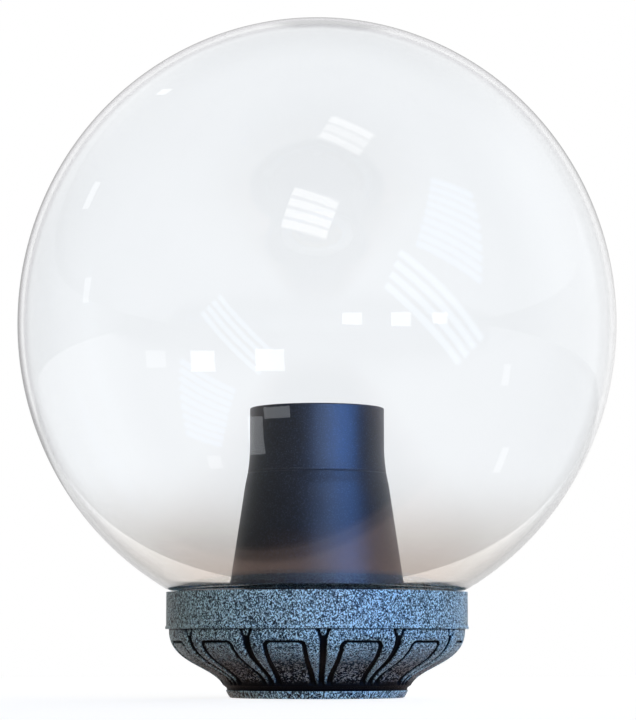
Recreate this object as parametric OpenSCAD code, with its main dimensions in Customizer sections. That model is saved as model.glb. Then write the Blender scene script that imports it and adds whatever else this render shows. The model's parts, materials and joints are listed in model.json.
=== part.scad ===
// Globe light head: a clear screw-neck globe on a fluted cast base, with a lampholder in a dark shroud.
// Millimetres, +Z up, origin at the centre of the foot, where the head stands on its arm.

/* [Globe] */
// Width of the globe
globe_w = 250; // [240:1:290]
// Height of the globe's full round, from pole to pole
globe_h = 256; // [246:1:296]
// Wall of the globe
globe_wall = 2.5; // [2:0.1:3.2]
// Outside diameter of the globe's neck
neck_d = 113.2; // [112:0.2:120]
// Bend in which the round of the globe flattens into its shoulder
shoulder_bend = 8; // [6:0.5:11]
// Bend between the shoulder and the neck
neck_bend = 1.8; // [1:0.1:2.4]
// Flat width of the shoulder
shoulder_flat = 0.6; // [0.2:0.1:2]

/* [Globe thread] */
// Number of starts of the quick thread
thread_starts = 3; // [2:1:3]
// Rise of the globe in one turn
thread_lead = 15; // [13:0.5:17]
// How far a thread stands out
thread_depth = 1.7; // [1.2:0.1:2]
// Width of a thread at its root
thread_root_w = 2.2; // [1.8:0.1:2.4]
// Width of a thread at its crest
thread_crest_w = 1.4; // [1:0.1:1.6]
// Arc of each thread on the neck, in degrees
neck_thread_arc = 90; // [80:5:100]
// Arc of each thread in the ring, in degrees
ring_thread_arc = 60; // [45:5:70]
// Gap between a thread's crest and the wall it faces
thread_gap = 0.5; // [0.4:0.1:0.8]
// Gap between the flanks that draw the globe down
flank_gap = 0.3; // [0.2:0.05:0.5]
// Distance from the top of the ring to its threads
thread_inset = 1; // [0.6:0.1:1.4]

/* [Collar ring] */
// Height of the band that shows
ring_h = 15.4; // [14.8:0.2:20]
// Wall of the band round its thread
ring_wall = 3.7; // [3.2:0.1:4.2]
// Thickness of the inner flange that carries the globe
seat_t = 3; // [2.4:0.1:4]
// Height of the lip along the band's lower edge
lip_h = 1; // [0.6:0.1:1.6]
// How far the lip stands out
lip_out = 0.35; // [0.3:0.05:0.6]
// Depth of the spigot that centres the ring in the base
spigot_h = 2; // [1.5:0.1:3]
// Wall of that spigot
spigot_wall = 2.4; // [2:0.1:3]
// Chamfer on the band's edges
ring_chamfer = 0.5; // [0.3:0.1:0.8]

/* [Neck gasket] */
// Thickness of the gasket under the globe's rim
gasket_t = 2; // [1.5:0.1:2.4]
// Width of the gasket
gasket_w = 3; // [2.6:0.1:3.2]

/* [Cast base] */
// Height of the base under the ring
base_h = 28.2; // [27:0.2:34]
// Diameter of the foot where it meets the arm
foot_d = 72; // [70:0.5:76]
// How far the foot flares out on its way up
foot_flare = 2.6; // [1.5:0.1:3.5]
// Height of the plain foot
foot_h = 4.2; // [3.6:0.1:5]
// Depth of the line between the foot and the leaves
foot_line = 0.4; // [0.2:0.1:0.8]
// Wall of the casting
base_wall = 3; // [2.6:0.1:3.6]
// Thickness of the floor
floor_t = 4; // [3.6:0.1:5]
// How far the ring overhangs the base
ring_overhang = 1.2; // [0.6:0.1:2]

/* [Leaves] */
// Number of leaves round the base
leaf_count = 12; // [8:1:14]
// Turn of the first gap between leaves from the front, in degrees
leaf_turn = 2.4; // [-15:0.1:15]
// Width of the grooves that outline the leaves
groove_w = 2.0; // [1.2:0.1:2.2]
// Depth of those grooves
groove_depth = 1.3; // [0.8:0.1:1.6]
// Distance from the top of the base to where a gap forks round the leaves' corners
fork_h = 6.2; // [4.5:0.1:8]
// How far each branch of the fork runs sideways
fork_spread = 2.6; // [2:0.1:3.4]
// Half width of a leaf's inner panel at its top
panel_half_top = 8.3; // [6:0.1:8.4]
// Half width of a leaf's inner panel at its foot
panel_half_foot = 6.9; // [5:0.1:7.4]
// Distance from the top of a panel to the top of the base
panel_drop = 5.4; // [4:0.1:8]
// Radius of a panel's top corners
panel_corner = 2.6; // [1.4:0.1:4]

/* [Foot fixings] */
// Number of bolt holes in the floor
bolt_count = 3; // [3:1:3]
// Pitch circle of the bolt holes
bolt_pcd = 46; // [45:0.5:47]
// Diameter of a bolt hole
bolt_hole_d = 5.5; // [4.5:0.1:6.5]
// Diameter of the floor's centre hole, which holds the grommet
centre_hole_d = 16; // [15:0.5:17]
// Diameter of the cable hole through the grommet
cable_d = 9; // [7:0.5:10]
// Thickness of each of the grommet's flanges
grommet_t = 1.4; // [1.2:0.1:1.6]
// How far the grommet's flanges reach past its hole
grommet_reach = 2.4; // [2:0.1:2.8]
// Width of the foot gasket
foot_seal_w = 3.3; // [2.6:0.1:4]
// Thickness of the foot gasket
foot_seal_t = 1.8; // [1.2:0.1:2.2]
// Width of the seat outside the foot gasket
foot_seat_w = 4.5; // [4:0.1:5]

/* [Shroud] */
// Height of the shroud above its tray
shroud_h = 89.3; // [84:0.1:100]
// Diameter of the shroud's mouth
mouth_d = 56; // [54:0.5:60]
// Height of the plain upper part of the shroud
collar_h = 16; // [8:0.5:24]
// Height over which the plain part turns into the skirt
flare_h = 16; // [10:0.5:20]
// How much the shroud widens over that height
flare_out = 1.9; // [1:0.1:3]
// Wall of the shroud
shroud_wall = 2.5; // [2:0.1:3]
// Thickness of the shroud's foot flange
foot_flange_t = 3; // [2.4:0.1:4]
// Height of the web above the tray
web_up = 29.3; // [24:0.1:31]
// Thickness of the web
web_t = 3; // [2.4:0.1:4]
// Thickness of the tray
tray_t = 2.5; // [2:0.1:3]
// Diameter of the wire hole in the tray
wire_hole_d = 24; // [20:0.5:30]

/* [Lampholder] */
// Diameter of the porcelain body
holder_d = 41; // [40:0.2:44]
// Thickness of the dome's floor
dome_floor_t = 5; // [4.4:0.1:6]
// Height of the wire space between that floor and the insert
wire_room = 6; // [5.4:0.1:8]
// Height of the sleeve
sleeve_h = 34; // [33:0.2:38]
// Bore of the sleeve round the threaded shell
sleeve_bore_d = 30; // [29.8:0.1:31]
// Thickness of the lip at the sleeve's mouth
sleeve_lip_t = 3; // [2:0.1:4]
// Bore of the lip
lip_bore_d = 28; // [27.4:0.1:28.6]
// Depth of the joint where the sleeve screws over the dome
joint_h = 5; // [4:0.1:6]
// Wall of the sleeve at that joint
joint_wall = 2.4; // [2:0.1:2.8]
// Diameter of the insert
insert_d = 29; // [28:0.2:29.2]
// Height of the insert
insert_h = 11; // [10:0.2:14]
// Diameter of the hollow threaded nipple
nipple_d = 10; // [10:0.5:12]
// Bore of the nipple
nipple_bore_d = 7; // [6.6:0.1:7.4]
// Width across the flats of its nut
nut_flats = 14; // [13.5:0.5:16]
// Thickness of the nut
nut_t = 4; // [3:0.1:5]
// Thickness of the washer
washer_t = 0.8; // [0.5:0.1:1.2]

/* [Lamp contacts] */
// Crest diameter of the lamp thread
lamp_crest_d = 24.8; // [24.6:0.1:25]
// Root diameter of the lamp thread
lamp_root_d = 26.6; // [26.4:0.1:27]
// Pitch of the lamp thread
lamp_pitch = 3.6; // [3.4:0.1:3.8]
// Sheet thickness of the threaded shell
shell_t = 0.5; // [0.4:0.05:0.6]
// Height of the shell's legs
leg_h = 4; // [3:0.1:5]
// Width of the shell's legs
leg_w = 5; // [4:0.1:6]
// Travel of the sprung centre contact
contact_travel = 1.2; // [0.8:0.1:1.3]
// Diameter of the centre contact's button
button_d = 7; // [6:0.2:8]
// Thickness of the button
button_t = 1.2; // [0.8:0.1:1.6]
// Diameter of the centre contact's stem
stem_d = 3; // [2.6:0.1:3.4]
// Length of the stem inside the insert
stem_down = 4.5; // [4:0.1:5]
// Wire of the contact spring
spring_wire = 0.5; // [0.4:0.05:0.5]
// Number of coils in the contact spring
spring_coils = 4; // [3:1:4]
// Width of the side contact
side_w = 4; // [3:0.1:5]
// Sheet thickness of the side contact
side_t = 0.5; // [0.4:0.05:0.6]

/* [Terminals and wires] */
// Length of the terminal block
block_l = 27; // [26:0.5:28]
// Width of the terminal block
block_w = 13; // [12:0.5:14]
// Height of the terminal block
block_h = 12; // [11:0.5:13]
// Spacing of the block's ways
way_pitch = 8; // [7.8:0.1:8.2]
// Height of the ways above the floor
way_up = 5; // [4.6:0.1:5.4]
// Diameter of an insulated wire
wire_d = 2.2; // [1.8:0.1:2.3]
// Width of a lampholder terminal
terminal_w = 5; // [4:0.1:5]
// Height of a lampholder terminal
terminal_h = 4.4; // [4:0.1:5]
// Width of the cord clamp along the cord
clamp_w = 7; // [6:0.5:8]
// Thickness of the clamp
clamp_t = 1.8; // [1.5:0.1:2.4]
// Thickness of the clamp's feet
clamp_foot_t = 2.4; // [2:0.1:3]
// Height of the bosses on the floor
boss_h = 2.5; // [2:0.1:3.5]
// Sheet thickness of the earth tag
tag_t = 0.8; // [0.5:0.1:1]
// Height of the tag's crimp
crimp_h = 2.4; // [2:0.1:3]

/* [Screws] */
// Diameter of the ring, tray, clamp and earth screws
screw_d = 3.2; // [2.8:0.1:3.4]
// Head diameter of the ring screws
sunk_head_d = 6; // [5.6:0.1:6.2]
// Head diameter of the tray and earth screws
pan_head_d = 6; // [5.6:0.1:6.2]
// Head diameter of the clamp screws
clamp_head_d = 4.6; // [4.2:0.1:5]
// Length of the ring screws
ring_screw_l = 10; // [8:0.5:12]
// Length of the tray screws
tray_screw_l = 13; // [12:0.5:15]
// Length of the clamp screws
clamp_screw_l = 6; // [5:0.1:6.5]
// Length of the earth screw
earth_screw_l = 4.6; // [4:0.1:5]
// Height of the pan heads
pan_head_h = 2; // [1.5:0.1:2.4]
// Width of the screwdriver slots
slot_w = 0.8; // [0.5:0.1:1]
// Diameter of the terminal screws
grip_screw_d = 2.6; // [2.4:0.1:2.8]
// Diameter of the block's fixing screws
block_screw_d = 2.2; // [2:0.1:2.4]

/* [Hidden] */
$fn = 96;

// Radial play of fixed pieces, gap at rest under moving ones, and overlap of a cutter or root with its body
fit_gap = 0.1;
seat_gap = 0.3;
bite = 0.6;
cut = 1;

// Heights of the stack, from the foot up
ring_top = base_h + ring_h;
seat_z = base_h + seat_t;
rim_z = seat_z + gasket_t + seat_gap;
shoulder_z = ring_top + seat_gap;
tray_top = base_h + tray_t;
flange_top = tray_top + foot_flange_t;
web_z = tray_top + web_up;
web_top = web_z + web_t;
mouth_z = tray_top + shroud_h;

// Radii of the neck and the ring round it
neck_r = neck_d / 2;
ring_bore_r = neck_r + thread_depth + thread_gap;
ring_r = ring_bore_r + ring_wall;
base_top_r = ring_r - ring_overhang;
foot_r = foot_d / 2;
foot_top_r = foot_r + foot_flare;

// Radii inside the neck, from its gasket in: ring screws, flange, tray, tray screws and the shroud's skirt
head_land = 0.7;
tray_gap = 1;
gasket_r = neck_r - globe_wall / 2;
ring_screw_r = gasket_r - gasket_w / 2 - head_land - sunk_head_d / 2;
seat_bore_r = ring_screw_r - sunk_head_d / 2 - head_land;
flange_r = seat_bore_r - tray_gap;
tray_screw_r = flange_r - head_land - pan_head_d / 2;
skirt_r = tray_screw_r - pan_head_d / 2 - head_land;
mouth_r = mouth_d / 2;

// The round of the globe ends where its slope lets the shoulder bend run out flat
round_a = globe_w / 2;
round_b = globe_h / 2;
shoulder_in_r = neck_r + neck_bend + shoulder_flat;
function round_slope(t) = atan2(round_b * cos(t), round_a * abs(sin(t)));
function bend_foot_r(t) = round_a * cos(t) - shoulder_bend * sin(round_slope(t));
function round_end(lo, hi, n) = n == 0 ? (lo + hi) / 2
    : bend_foot_r((lo + hi) / 2) < shoulder_in_r ? round_end((lo + hi) / 2, hi, n - 1)
    : round_end(lo, (lo + hi) / 2, n - 1);
round_t = round_end(-85, -30, 24);
bend_angle = round_slope(round_t);
globe_z = shoulder_z + shoulder_bend * (1 - cos(bend_angle)) - round_b * sin(round_t);
round_steps = 48;
bend_steps = 5;

// Threads: the ring's hang from its top edge, and the neck's lie one step below them
thread_step = (thread_root_w + thread_crest_w) / 2 + flank_gap;
thread_lag = (neck_thread_arc - ring_thread_arc) / 2;
ring_thread_z = ring_top - thread_inset - thread_root_w / 2 - thread_lead * ring_thread_arc / 360;
neck_thread_z = ring_thread_z - thread_lead * thread_lag / 360 - thread_step;
thread_angle_step = 7.5;

// Outline of the leaves: one curve from the foot's line to the top of the base
leaf_foot_z = foot_h + 1;
relief_z = leaf_foot_z + 0.4;
leaf_curve = [[foot_top_r + 0.3, leaf_foot_z], [foot_top_r + 4.4, leaf_foot_z + 8],
    [base_top_r + 0.6, base_h - 14.2], [base_top_r, base_h]];
curve_steps = 12;
flare_steps = 6;
leaf_pitch = 360 / leaf_count;
groove_half = groove_w / 2;

// Pillars and holes for the screws
screw_count = 3;
ring_screw_turn = 30;
tray_screw_turn = 90;
pilot_d = screw_d + 2 * fit_gap;
screw_hole_d = screw_d + 4 * fit_gap;
pilot_h = 11;
pillar_wall = 2.4;
pillar_d = pilot_d + 2 * pillar_wall;
boss_d = pilot_d + 1.5 * pillar_wall;
floor_skin = 1.6;
slot_depth = 1;

// Places on the floor: grommet in the middle, terminal block behind, cord clamp and earth screw in front
centre_r = centre_hole_d / 2;
grommet_r = centre_r + grommet_reach;
bolt_turn = 30;
bend_room = 3.1;
block_out = grommet_r + bend_room + block_w / 2;
saddle_bore_d = cable_d - 1;
saddle_r = saddle_bore_d / 2 + clamp_t;
clamp_screw_out = saddle_r + clamp_head_d / 2 + fit_gap;
clamp_l = 2 * clamp_screw_out + clamp_head_d + 1;
clamp_room = 4.7;
clamp_out = grommet_r + clamp_room + clamp_w / 2;
clamp_turn = 210;
earth_turn = 330;
tag_turn = 105;
tag_reach = 9;
tag_w = 3.2;
crimp_l = 3;
boss_top = floor_t + boss_h;
foot_seal_r = foot_r - foot_seat_w - foot_seal_w;

// Heights and radii in the lampholder
holder_r = holder_d / 2;
insert_r = insert_d / 2;
insert_bore_r = insert_r + seat_gap;
ledge_w = 2.6;
spigot_r = holder_r - joint_wall - fit_gap;
holder_z = web_top;
insert_z = holder_z + dome_floor_t + wire_room;
insert_top = insert_z + insert_h;
dome_top = insert_top - 1;
sleeve_z = dome_top - joint_h;
holder_top = sleeve_z + sleeve_h;
edge_bend = 1.2;
nipple_r = nipple_d / 2;
nipple_low = web_z - washer_t - nut_t - 2;
nipple_high = holder_z + dome_floor_t - 0.5;
crest_r = lamp_crest_d / 2;
root_r = lamp_root_d / 2;
shell_low = insert_top + leg_h;
shell_top = holder_top - sleeve_lip_t - 2 * fit_gap;
shell_flange_r = sleeve_bore_d / 2 - seat_gap;
shell_rings = floor((shell_top - shell_low - shell_t) / lamp_pitch);
button_z = insert_top + contact_travel + 0.4;
stem_foot_t = 0.8;
stem_foot_d = stem_d + 2;
spring_r = stem_d / 2 + 0.35 + spring_wire / 2;
spring_well_r = spring_r + spring_wire / 2 + 0.6;
spring_well_h = 2.4;
spring_low = insert_top - spring_well_h + spring_wire / 2 + 0.05;
spring_high = button_z - spring_wire / 2 - 0.05;
spring_steps = 12;
side_r = crest_r - 1.2;
side_foot = 5;
terminal_out = 8;
pin_w = 2.8;
pin_up = 4;

// Heights and places of the block's ways and of the wires' ends
way_z = floor_t + way_up;
way_y = block_out - block_w / 2;
tube_d = 4.4;
tube_wall = 0.9;
way_grip = 3;
wire_in = 5.5;
wire_sides = 8;
wire_apart = 1.6;
terminal_z = insert_z - terminal_h / 2;
terminal_face = terminal_out - terminal_w / 2 - fit_gap;

function unit(v) = v / norm(v);
function polar(r, a) = [r * cos(a), r * sin(a)];
function reversed(list) = [for (i = [len(list) - 1 : -1 : 0]) list[i]];

module ring_section(r_in, r_out, z0, z1) {
    rotate_extrude() translate([r_in, z0]) square([r_out - r_in, z1 - z0]);
}

module around(count, r, turn) {
    for (k = [0 : count - 1]) rotate([0, 0, turn + 360 * k / count]) translate([r, 0, 0]) children();
}

module rod(d, low, high) {
    translate([0, 0, low]) cylinder(d = d, h = high - low);
}

module head_slot(d, top) {
    translate([-d, -slot_w / 2, top - slot_depth]) cube([2 * d, slot_w, 2 * slot_depth]);
}

module pan_screw(length, head_d, head_h) {
    difference() {
        union() {
            rod(screw_d, -length, bite);
            rod(head_d, 0, head_h);
        }
        head_slot(head_d, head_h);
    }
}

module sunk_screw(length, head_d) {
    difference() {
        rotate_extrude() polygon([[0, -length], [screw_d / 2, -length],
            [screw_d / 2, -(head_d - screw_d) / 2], [head_d / 2, 0], [0, 0]]);
        head_slot(head_d, 0);
    }
}

// A thread ridge that climbs round a wall, from the root radius to the crest radius
function ridge_ring(root, crest, angle, z) = let (c = cos(angle), s = sin(angle)) [
    [root * c, root * s, z - thread_root_w / 2], [root * c, root * s, z + thread_root_w / 2],
    [crest * c, crest * s, z + thread_crest_w / 2], [crest * c, crest * s, z - thread_crest_w / 2]];

module ridge(root, crest, arc, z) {
    steps = ceil(arc / thread_angle_step);
    points = [for (i = [0 : steps]) let (a = arc * i / steps)
        each ridge_ring(root, crest, a, z + thread_lead * a / 360)];
    last = 4 * steps;
    sides = [for (i = [0 : steps - 1], j = [0 : 3]) let (a = 4 * i + j, b = 4 * i + (j + 1) % 4)
        [a + 4, b + 4, b, a]];
    faces = concat(sides, [[0, 1, 2, 3], [last + 3, last + 2, last + 1, last]]);
    facing = crest > root ? faces : [for (f = faces) reversed(f)];
    polyhedron(points, [for (f = facing) each [[f[0], f[1], f[2]], [f[0], f[2], f[3]]]]);
}

// A round tube swept along a route of points, its first side carried on without a twist
function carried(a, along) = unit(a - (a * along) * along);

module swept_tube(route, d, sides) {
    count = len(route);
    along = [for (i = [0 : count - 1]) unit(route[min(i + 1, count - 1)] - route[max(i - 1, 0)])];
    start = abs(along[0][2]) > 0.9 ? [1, 0, 0] : [0, 0, 1];
    across = [for (i = 0, a = carried(start, along[0]); i < count;
        i = i + 1, a = i < count ? carried(a, along[i]) : a) a];
    points = [for (i = [0 : count - 1], k = [0 : sides - 1]) let (a = 360 * k / sides)
        route[i] + d / 2 * (cos(a) * across[i] + sin(a) * cross(along[i], across[i]))];
    last = sides * (count - 1);
    walls = [for (i = [0 : count - 2], k = [0 : sides - 1])
        let (a = sides * i + k, b = sides * i + (k + 1) % sides)
        each [[a, a + sides, b + sides], [a, b + sides, b]]];
    ends = [for (k = [1 : sides - 2]) each [[0, k, k + 1], [last, last + k + 1, last + k]]];
    polyhedron(points, concat(walls, ends));
}

// Outside and inside of the globe, each from the neck's rim up to the pole
function round_line(wall) = [for (i = [0 : round_steps]) let (
    t = round_t + (90 - round_t) * i / round_steps, n = unit([cos(t) / round_a, sin(t) / round_b]))
    [i == round_steps ? 0 : round_a * cos(t) - wall * n[0], globe_z + round_b * sin(t) - wall * n[1]]];
function shoulder_line(wall) = [for (i = [0 : bend_steps - 1]) let (a = bend_angle * i / bend_steps)
    [shoulder_in_r, shoulder_z + shoulder_bend] + (shoulder_bend - wall) * [sin(a), -cos(a)]];
function neck_line(wall) = [for (i = [0 : bend_steps]) let (a = 90 * i / bend_steps)
    [neck_r + neck_bend, shoulder_z - neck_bend] + (neck_bend + wall) * [-cos(a), sin(a)]];
function globe_line(wall) = concat([[neck_r - wall, rim_z]], neck_line(wall), shoulder_line(wall),
    round_line(wall));

module globe() {
    color("azure", 0.35) {
        rotate_extrude() polygon(concat(globe_line(0), reversed(globe_line(globe_wall))));
        around(thread_starts, 0, 0)
            ridge(neck_r - bite, neck_r + thread_depth, neck_thread_arc, neck_thread_z);
    }
}

module neck_gasket() {
    half = gasket_w / 2;
    color("dimgray") ring_section(gasket_r - half, gasket_r + half, seat_z, seat_z + gasket_t);
}

module sunk_hole() {
    hole_r = screw_hole_d / 2;
    head_r = sunk_head_d / 2 + 2 * fit_gap;
    rotate_extrude() polygon([[0, base_h - cut], [hole_r, base_h - cut], [hole_r, seat_z - head_r + hole_r],
        [head_r, seat_z], [head_r, seat_z + cut], [0, seat_z + cut]]);
}

module ring_band() {
    lip_r = ring_r + lip_out;
    edge_z = ring_top - ring_chamfer;
    rotate_extrude() polygon([[ring_bore_r, seat_z], [ring_bore_r, edge_z],
        [ring_bore_r + ring_chamfer, ring_top], [ring_r - ring_chamfer, ring_top], [ring_r, edge_z],
        [ring_r, base_h + lip_h + lip_out], [lip_r, base_h + lip_h], [lip_r, base_h + lip_out / 2],
        [lip_r - lip_out / 2, base_h], [seat_bore_r, base_h], [seat_bore_r, seat_z]]);
}

module collar_ring() {
    spigot_out_r = base_top_r - base_wall - 2 * fit_gap;
    color("slategray") {
        difference() {
            union() {
                ring_band();
                ring_section(spigot_out_r - spigot_wall, spigot_out_r, base_h - spigot_h, base_h + bite);
            }
            around(screw_count, ring_screw_r, ring_screw_turn) sunk_hole();
        }
        around(thread_starts, 0, thread_lag)
            ridge(ring_bore_r + bite, neck_r + thread_gap, ring_thread_arc, ring_thread_z);
    }
}

module ring_screws() {
    color("silver") around(screw_count, ring_screw_r, ring_screw_turn)
        translate([0, 0, seat_z - fit_gap]) sunk_screw(ring_screw_l, sunk_head_d);
}

function bezier(p, t) = pow(1 - t, 3) * p[0] + 3 * t * pow(1 - t, 2) * p[1] + 3 * t * t * (1 - t) * p[2]
    + pow(t, 3) * p[3];
function bezier_slope(p, t) = pow(1 - t, 2) * (p[1] - p[0]) + 2 * t * (1 - t) * (p[2] - p[1])
    + t * t * (p[3] - p[2]);
function leaf_line(inset) = [for (i = [0 : curve_steps])
    let (t = i / curve_steps, s = unit(bezier_slope(leaf_curve, t)))
    bezier(leaf_curve, t) - inset * [s[1], -s[0]]];

// A round-topped arch, seen from the front of a leaf
function arch(half_foot, half_top, low, high, bend) = concat([[half_foot, low]],
    [for (a = [0 : 22.5 : 90]) [half_top - bend, high - bend] + polar(bend, a)],
    [for (a = [90 : 22.5 : 180]) [bend - half_top, high - bend] + polar(bend, a)], [[-half_foot, low]]);

module panel_channel() {
    high = base_h - panel_drop;
    outer = arch(panel_half_foot + groove_half, panel_half_top + groove_half, relief_z, high + groove_half,
        panel_corner + groove_half);
    inner = arch(panel_half_foot - groove_half, panel_half_top - groove_half, relief_z, high - groove_half,
        panel_corner - groove_half);
    polygon(concat(outer, reversed(inner)));
}

module leaf_gap() {
    fork_z = base_h - fork_h;
    bend_x = fork_spread * 0.45;
    bend_z = fork_z + fork_h * 0.6;
    top = base_h + cut;
    right = [[groove_half, relief_z], [groove_half, fork_z], [bend_x + groove_half, bend_z],
        [fork_spread + groove_half, top], [fork_spread - groove_half, top],
        [bend_x - groove_half * 0.7, bend_z + groove_half]];
    polygon(concat(right, [[0, fork_z + 1.5 * groove_w]], [for (p = reversed(right)) [-p[0], p[1]]]));
}

// Everything outside the depth of the grooves
module relief_zone() {
    bottom = leaf_line(groove_depth);
    high = base_h + cut;
    rotate_extrude() polygon(concat([[ring_r + cut, leaf_foot_z - cut], bottom[0] - [0, cut]], bottom,
        [[base_top_r - groove_depth, high], [ring_r + cut, high]]));
}

module outward_prism() {
    from = foot_r - base_wall;
    rotate([90, 0, 90]) translate([0, 0, from]) linear_extrude(height = ring_r + cut - from) children();
}

module leaf_grooves() {
    intersection() {
        for (k = [0 : leaf_count - 1]) rotate([0, 0, leaf_turn - 90 + k * leaf_pitch]) {
            outward_prism() leaf_gap();
            rotate([0, 0, leaf_pitch / 2]) outward_prism() panel_channel();
        }
        relief_zone();
    }
}

module pillars() {
    mid = base_wall / 2;
    intersection() {
        union() {
            around(screw_count, ring_screw_r, ring_screw_turn) rod(pillar_d, base_h - pilot_h - 3, base_h);
            around(screw_count, tray_screw_r, tray_screw_turn) rod(pillar_d, floor_t / 2, base_h);
        }
        rotate_extrude() polygon(concat([[0, floor_t / 2], [foot_r - mid, floor_t / 2]], leaf_line(mid),
            [[base_top_r - mid, base_h], [0, base_h]]));
    }
}

// Moves children from the axis to a point on the floor: out along a turn, then across it
module on_floor(turn, out, across, z) {
    rotate([0, 0, turn]) translate([out, across, z]) children();
}

module at_bosses() {
    for (side = [-1, 1]) on_floor(clamp_turn, clamp_out, side * clamp_screw_out, boss_top) children();
    on_floor(earth_turn, clamp_out, 0, boss_top) children();
}

module base_shell() {
    difference() {
        rotate_extrude() polygon(concat([[0, 0], [foot_r, 0], [foot_top_r, foot_h],
            [foot_top_r - foot_line, foot_h + foot_line]], leaf_line(0), [[0, base_h]]));
        rotate_extrude() polygon(concat([[0, floor_t], [foot_r - base_wall, floor_t]], leaf_line(base_wall),
            [[base_top_r - base_wall, base_h + cut], [0, base_h + cut]]));
    }
}

module fluted_base() {
    color("darkslategray") difference() {
        union() {
            base_shell();
            pillars();
            at_bosses() rod(boss_d, -boss_h - bite, 0);
        }
        leaf_grooves();
        around(screw_count, ring_screw_r, ring_screw_turn) rod(pilot_d, base_h - pilot_h, base_h + cut);
        around(screw_count, tray_screw_r, tray_screw_turn) rod(pilot_d, base_h - pilot_h, base_h + cut);
        around(bolt_count, bolt_pcd / 2, bolt_turn) rod(bolt_hole_d, -cut, floor_t + cut);
        rod(centre_hole_d, -cut, floor_t + cut);
        rod(2 * grommet_r + 4 * fit_gap, -cut, grommet_t + 2 * fit_gap);
        ring_section(foot_seal_r - fit_gap, foot_seal_r + foot_seal_w + fit_gap, -cut, foot_seal_t);
        at_bosses() rod(pilot_d, floor_skin - boss_top, cut);
        for (side = [-1, 1]) on_floor(90, block_out, side * way_pitch / 2, 0)
            rod(block_screw_d + 2 * fit_gap, floor_skin, floor_t + cut);
    }
}

module foot_gasket() {
    color("black") ring_section(foot_seal_r, foot_seal_r + foot_seal_w, 0, foot_seal_t);
}

module cable_grommet() {
    bore_r = cable_d / 2;
    low = 2 * fit_gap;
    waist_r = centre_r - fit_gap;
    cuff = 1.6;
    high = floor_t + grommet_t;
    color("black") rotate_extrude() polygon([[bore_r, low], [grommet_r, low], [grommet_r, low + grommet_t],
        [waist_r, low + grommet_t], [waist_r, floor_t], [grommet_r, floor_t], [grommet_r, high],
        [bore_r + cuff, high + cuff], [bore_r, high + cuff]]);
}

module wiring_tray() {
    hole_r = wire_hole_d / 2;
    color("black") difference() {
        union() {
            rod(2 * flange_r, base_h, tray_top);
            ring_section(hole_r - bite, hole_r + 2, base_h - 3, base_h + bite);
        }
        rod(wire_hole_d, base_h - 4, tray_top + cut);
        around(screw_count, tray_screw_r, tray_screw_turn) rod(screw_hole_d, base_h - cut, tray_top + cut);
    }
}

// Side of the shroud from its foot flange to its mouth, moved in by the wall for its inside
function shroud_side(wall) = let (r = mouth_r - wall, low = mouth_z - collar_h - flare_h)
    concat([[skirt_r - wall, flange_top]], [for (i = [0 : flare_steps]) let (t = i / flare_steps)
        [r + flare_out * pow(1 - t, 2), low + flare_h * t]], [[r, mouth_z]]);

// Inside radius of the skirt at a height
function skirt_in(z) = let (low = mouth_z - collar_h - flare_h)
    skirt_r + (mouth_r + flare_out - skirt_r) * (z - flange_top) / (low - flange_top) - shroud_wall;

module lamp_shroud() {
    flange = [[flange_r, tray_top], [flange_r, flange_top - bite], [flange_r - bite, flange_top]];
    color("midnightblue") difference() {
        union() {
            rotate_extrude() polygon(concat(flange, shroud_side(0), reversed(shroud_side(shroud_wall)),
                [[skirt_r - shroud_wall, tray_top]]));
            ring_section(nipple_r + 2 * fit_gap, skirt_in(web_z) + bite, web_z, web_top);
        }
        around(screw_count, tray_screw_r, tray_screw_turn)
            rod(screw_hole_d, tray_top - cut, flange_top + cut);
    }
}

module shroud_screws() {
    color("silver") around(screw_count, tray_screw_r, tray_screw_turn) translate([0, 0, flange_top])
        pan_screw(tray_screw_l, pan_head_d, pan_head_h);
}

module holder_nipple() {
    color("gold") ring_section(nipple_bore_d / 2, nipple_r, nipple_low, nipple_high);
}

module nipple_washer() {
    color("silver") ring_section(nipple_r + 2 * fit_gap, nut_flats / 2 + 2, web_z - washer_t, web_z);
}

module nipple_nut() {
    top = web_z - washer_t;
    color("gold") difference() {
        translate([0, 0, top - nut_t]) cylinder(d = nut_flats / cos(30), h = nut_t, $fn = 6);
        rod(nipple_d + 2 * fit_gap, top - nut_t - cut, top + cut);
    }
}

module holder_dome() {
    bore_r = nipple_r + fit_gap;
    ledge_r = insert_bore_r - ledge_w;
    floor_top = holder_z + dome_floor_t;
    color("ivory") rotate_extrude() polygon([[bore_r, holder_z], [holder_r - 4, holder_z],
        [holder_r - edge_bend, holder_z + edge_bend], [holder_r, holder_z + 4], [holder_r, sleeve_z],
        [spigot_r, sleeve_z], [spigot_r, dome_top], [insert_bore_r, dome_top], [insert_bore_r, insert_z],
        [ledge_r, insert_z], [ledge_r, floor_top], [bore_r, floor_top]]);
}

module holder_sleeve() {
    inner_r = sleeve_bore_d / 2;
    joint_r = holder_r - joint_wall;
    lip_r = lip_bore_d / 2;
    lip_z = holder_top - sleeve_lip_t;
    color("ivory") rotate_extrude() polygon([[joint_r, sleeve_z], [holder_r, sleeve_z],
        [holder_r, holder_top - edge_bend], [holder_r - edge_bend, holder_top], [lip_r + bite, holder_top],
        [lip_r, holder_top - bite], [lip_r, lip_z], [inner_r, lip_z], [inner_r, dome_top + 1.4],
        [joint_r, dome_top + 1]]);
}

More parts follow.
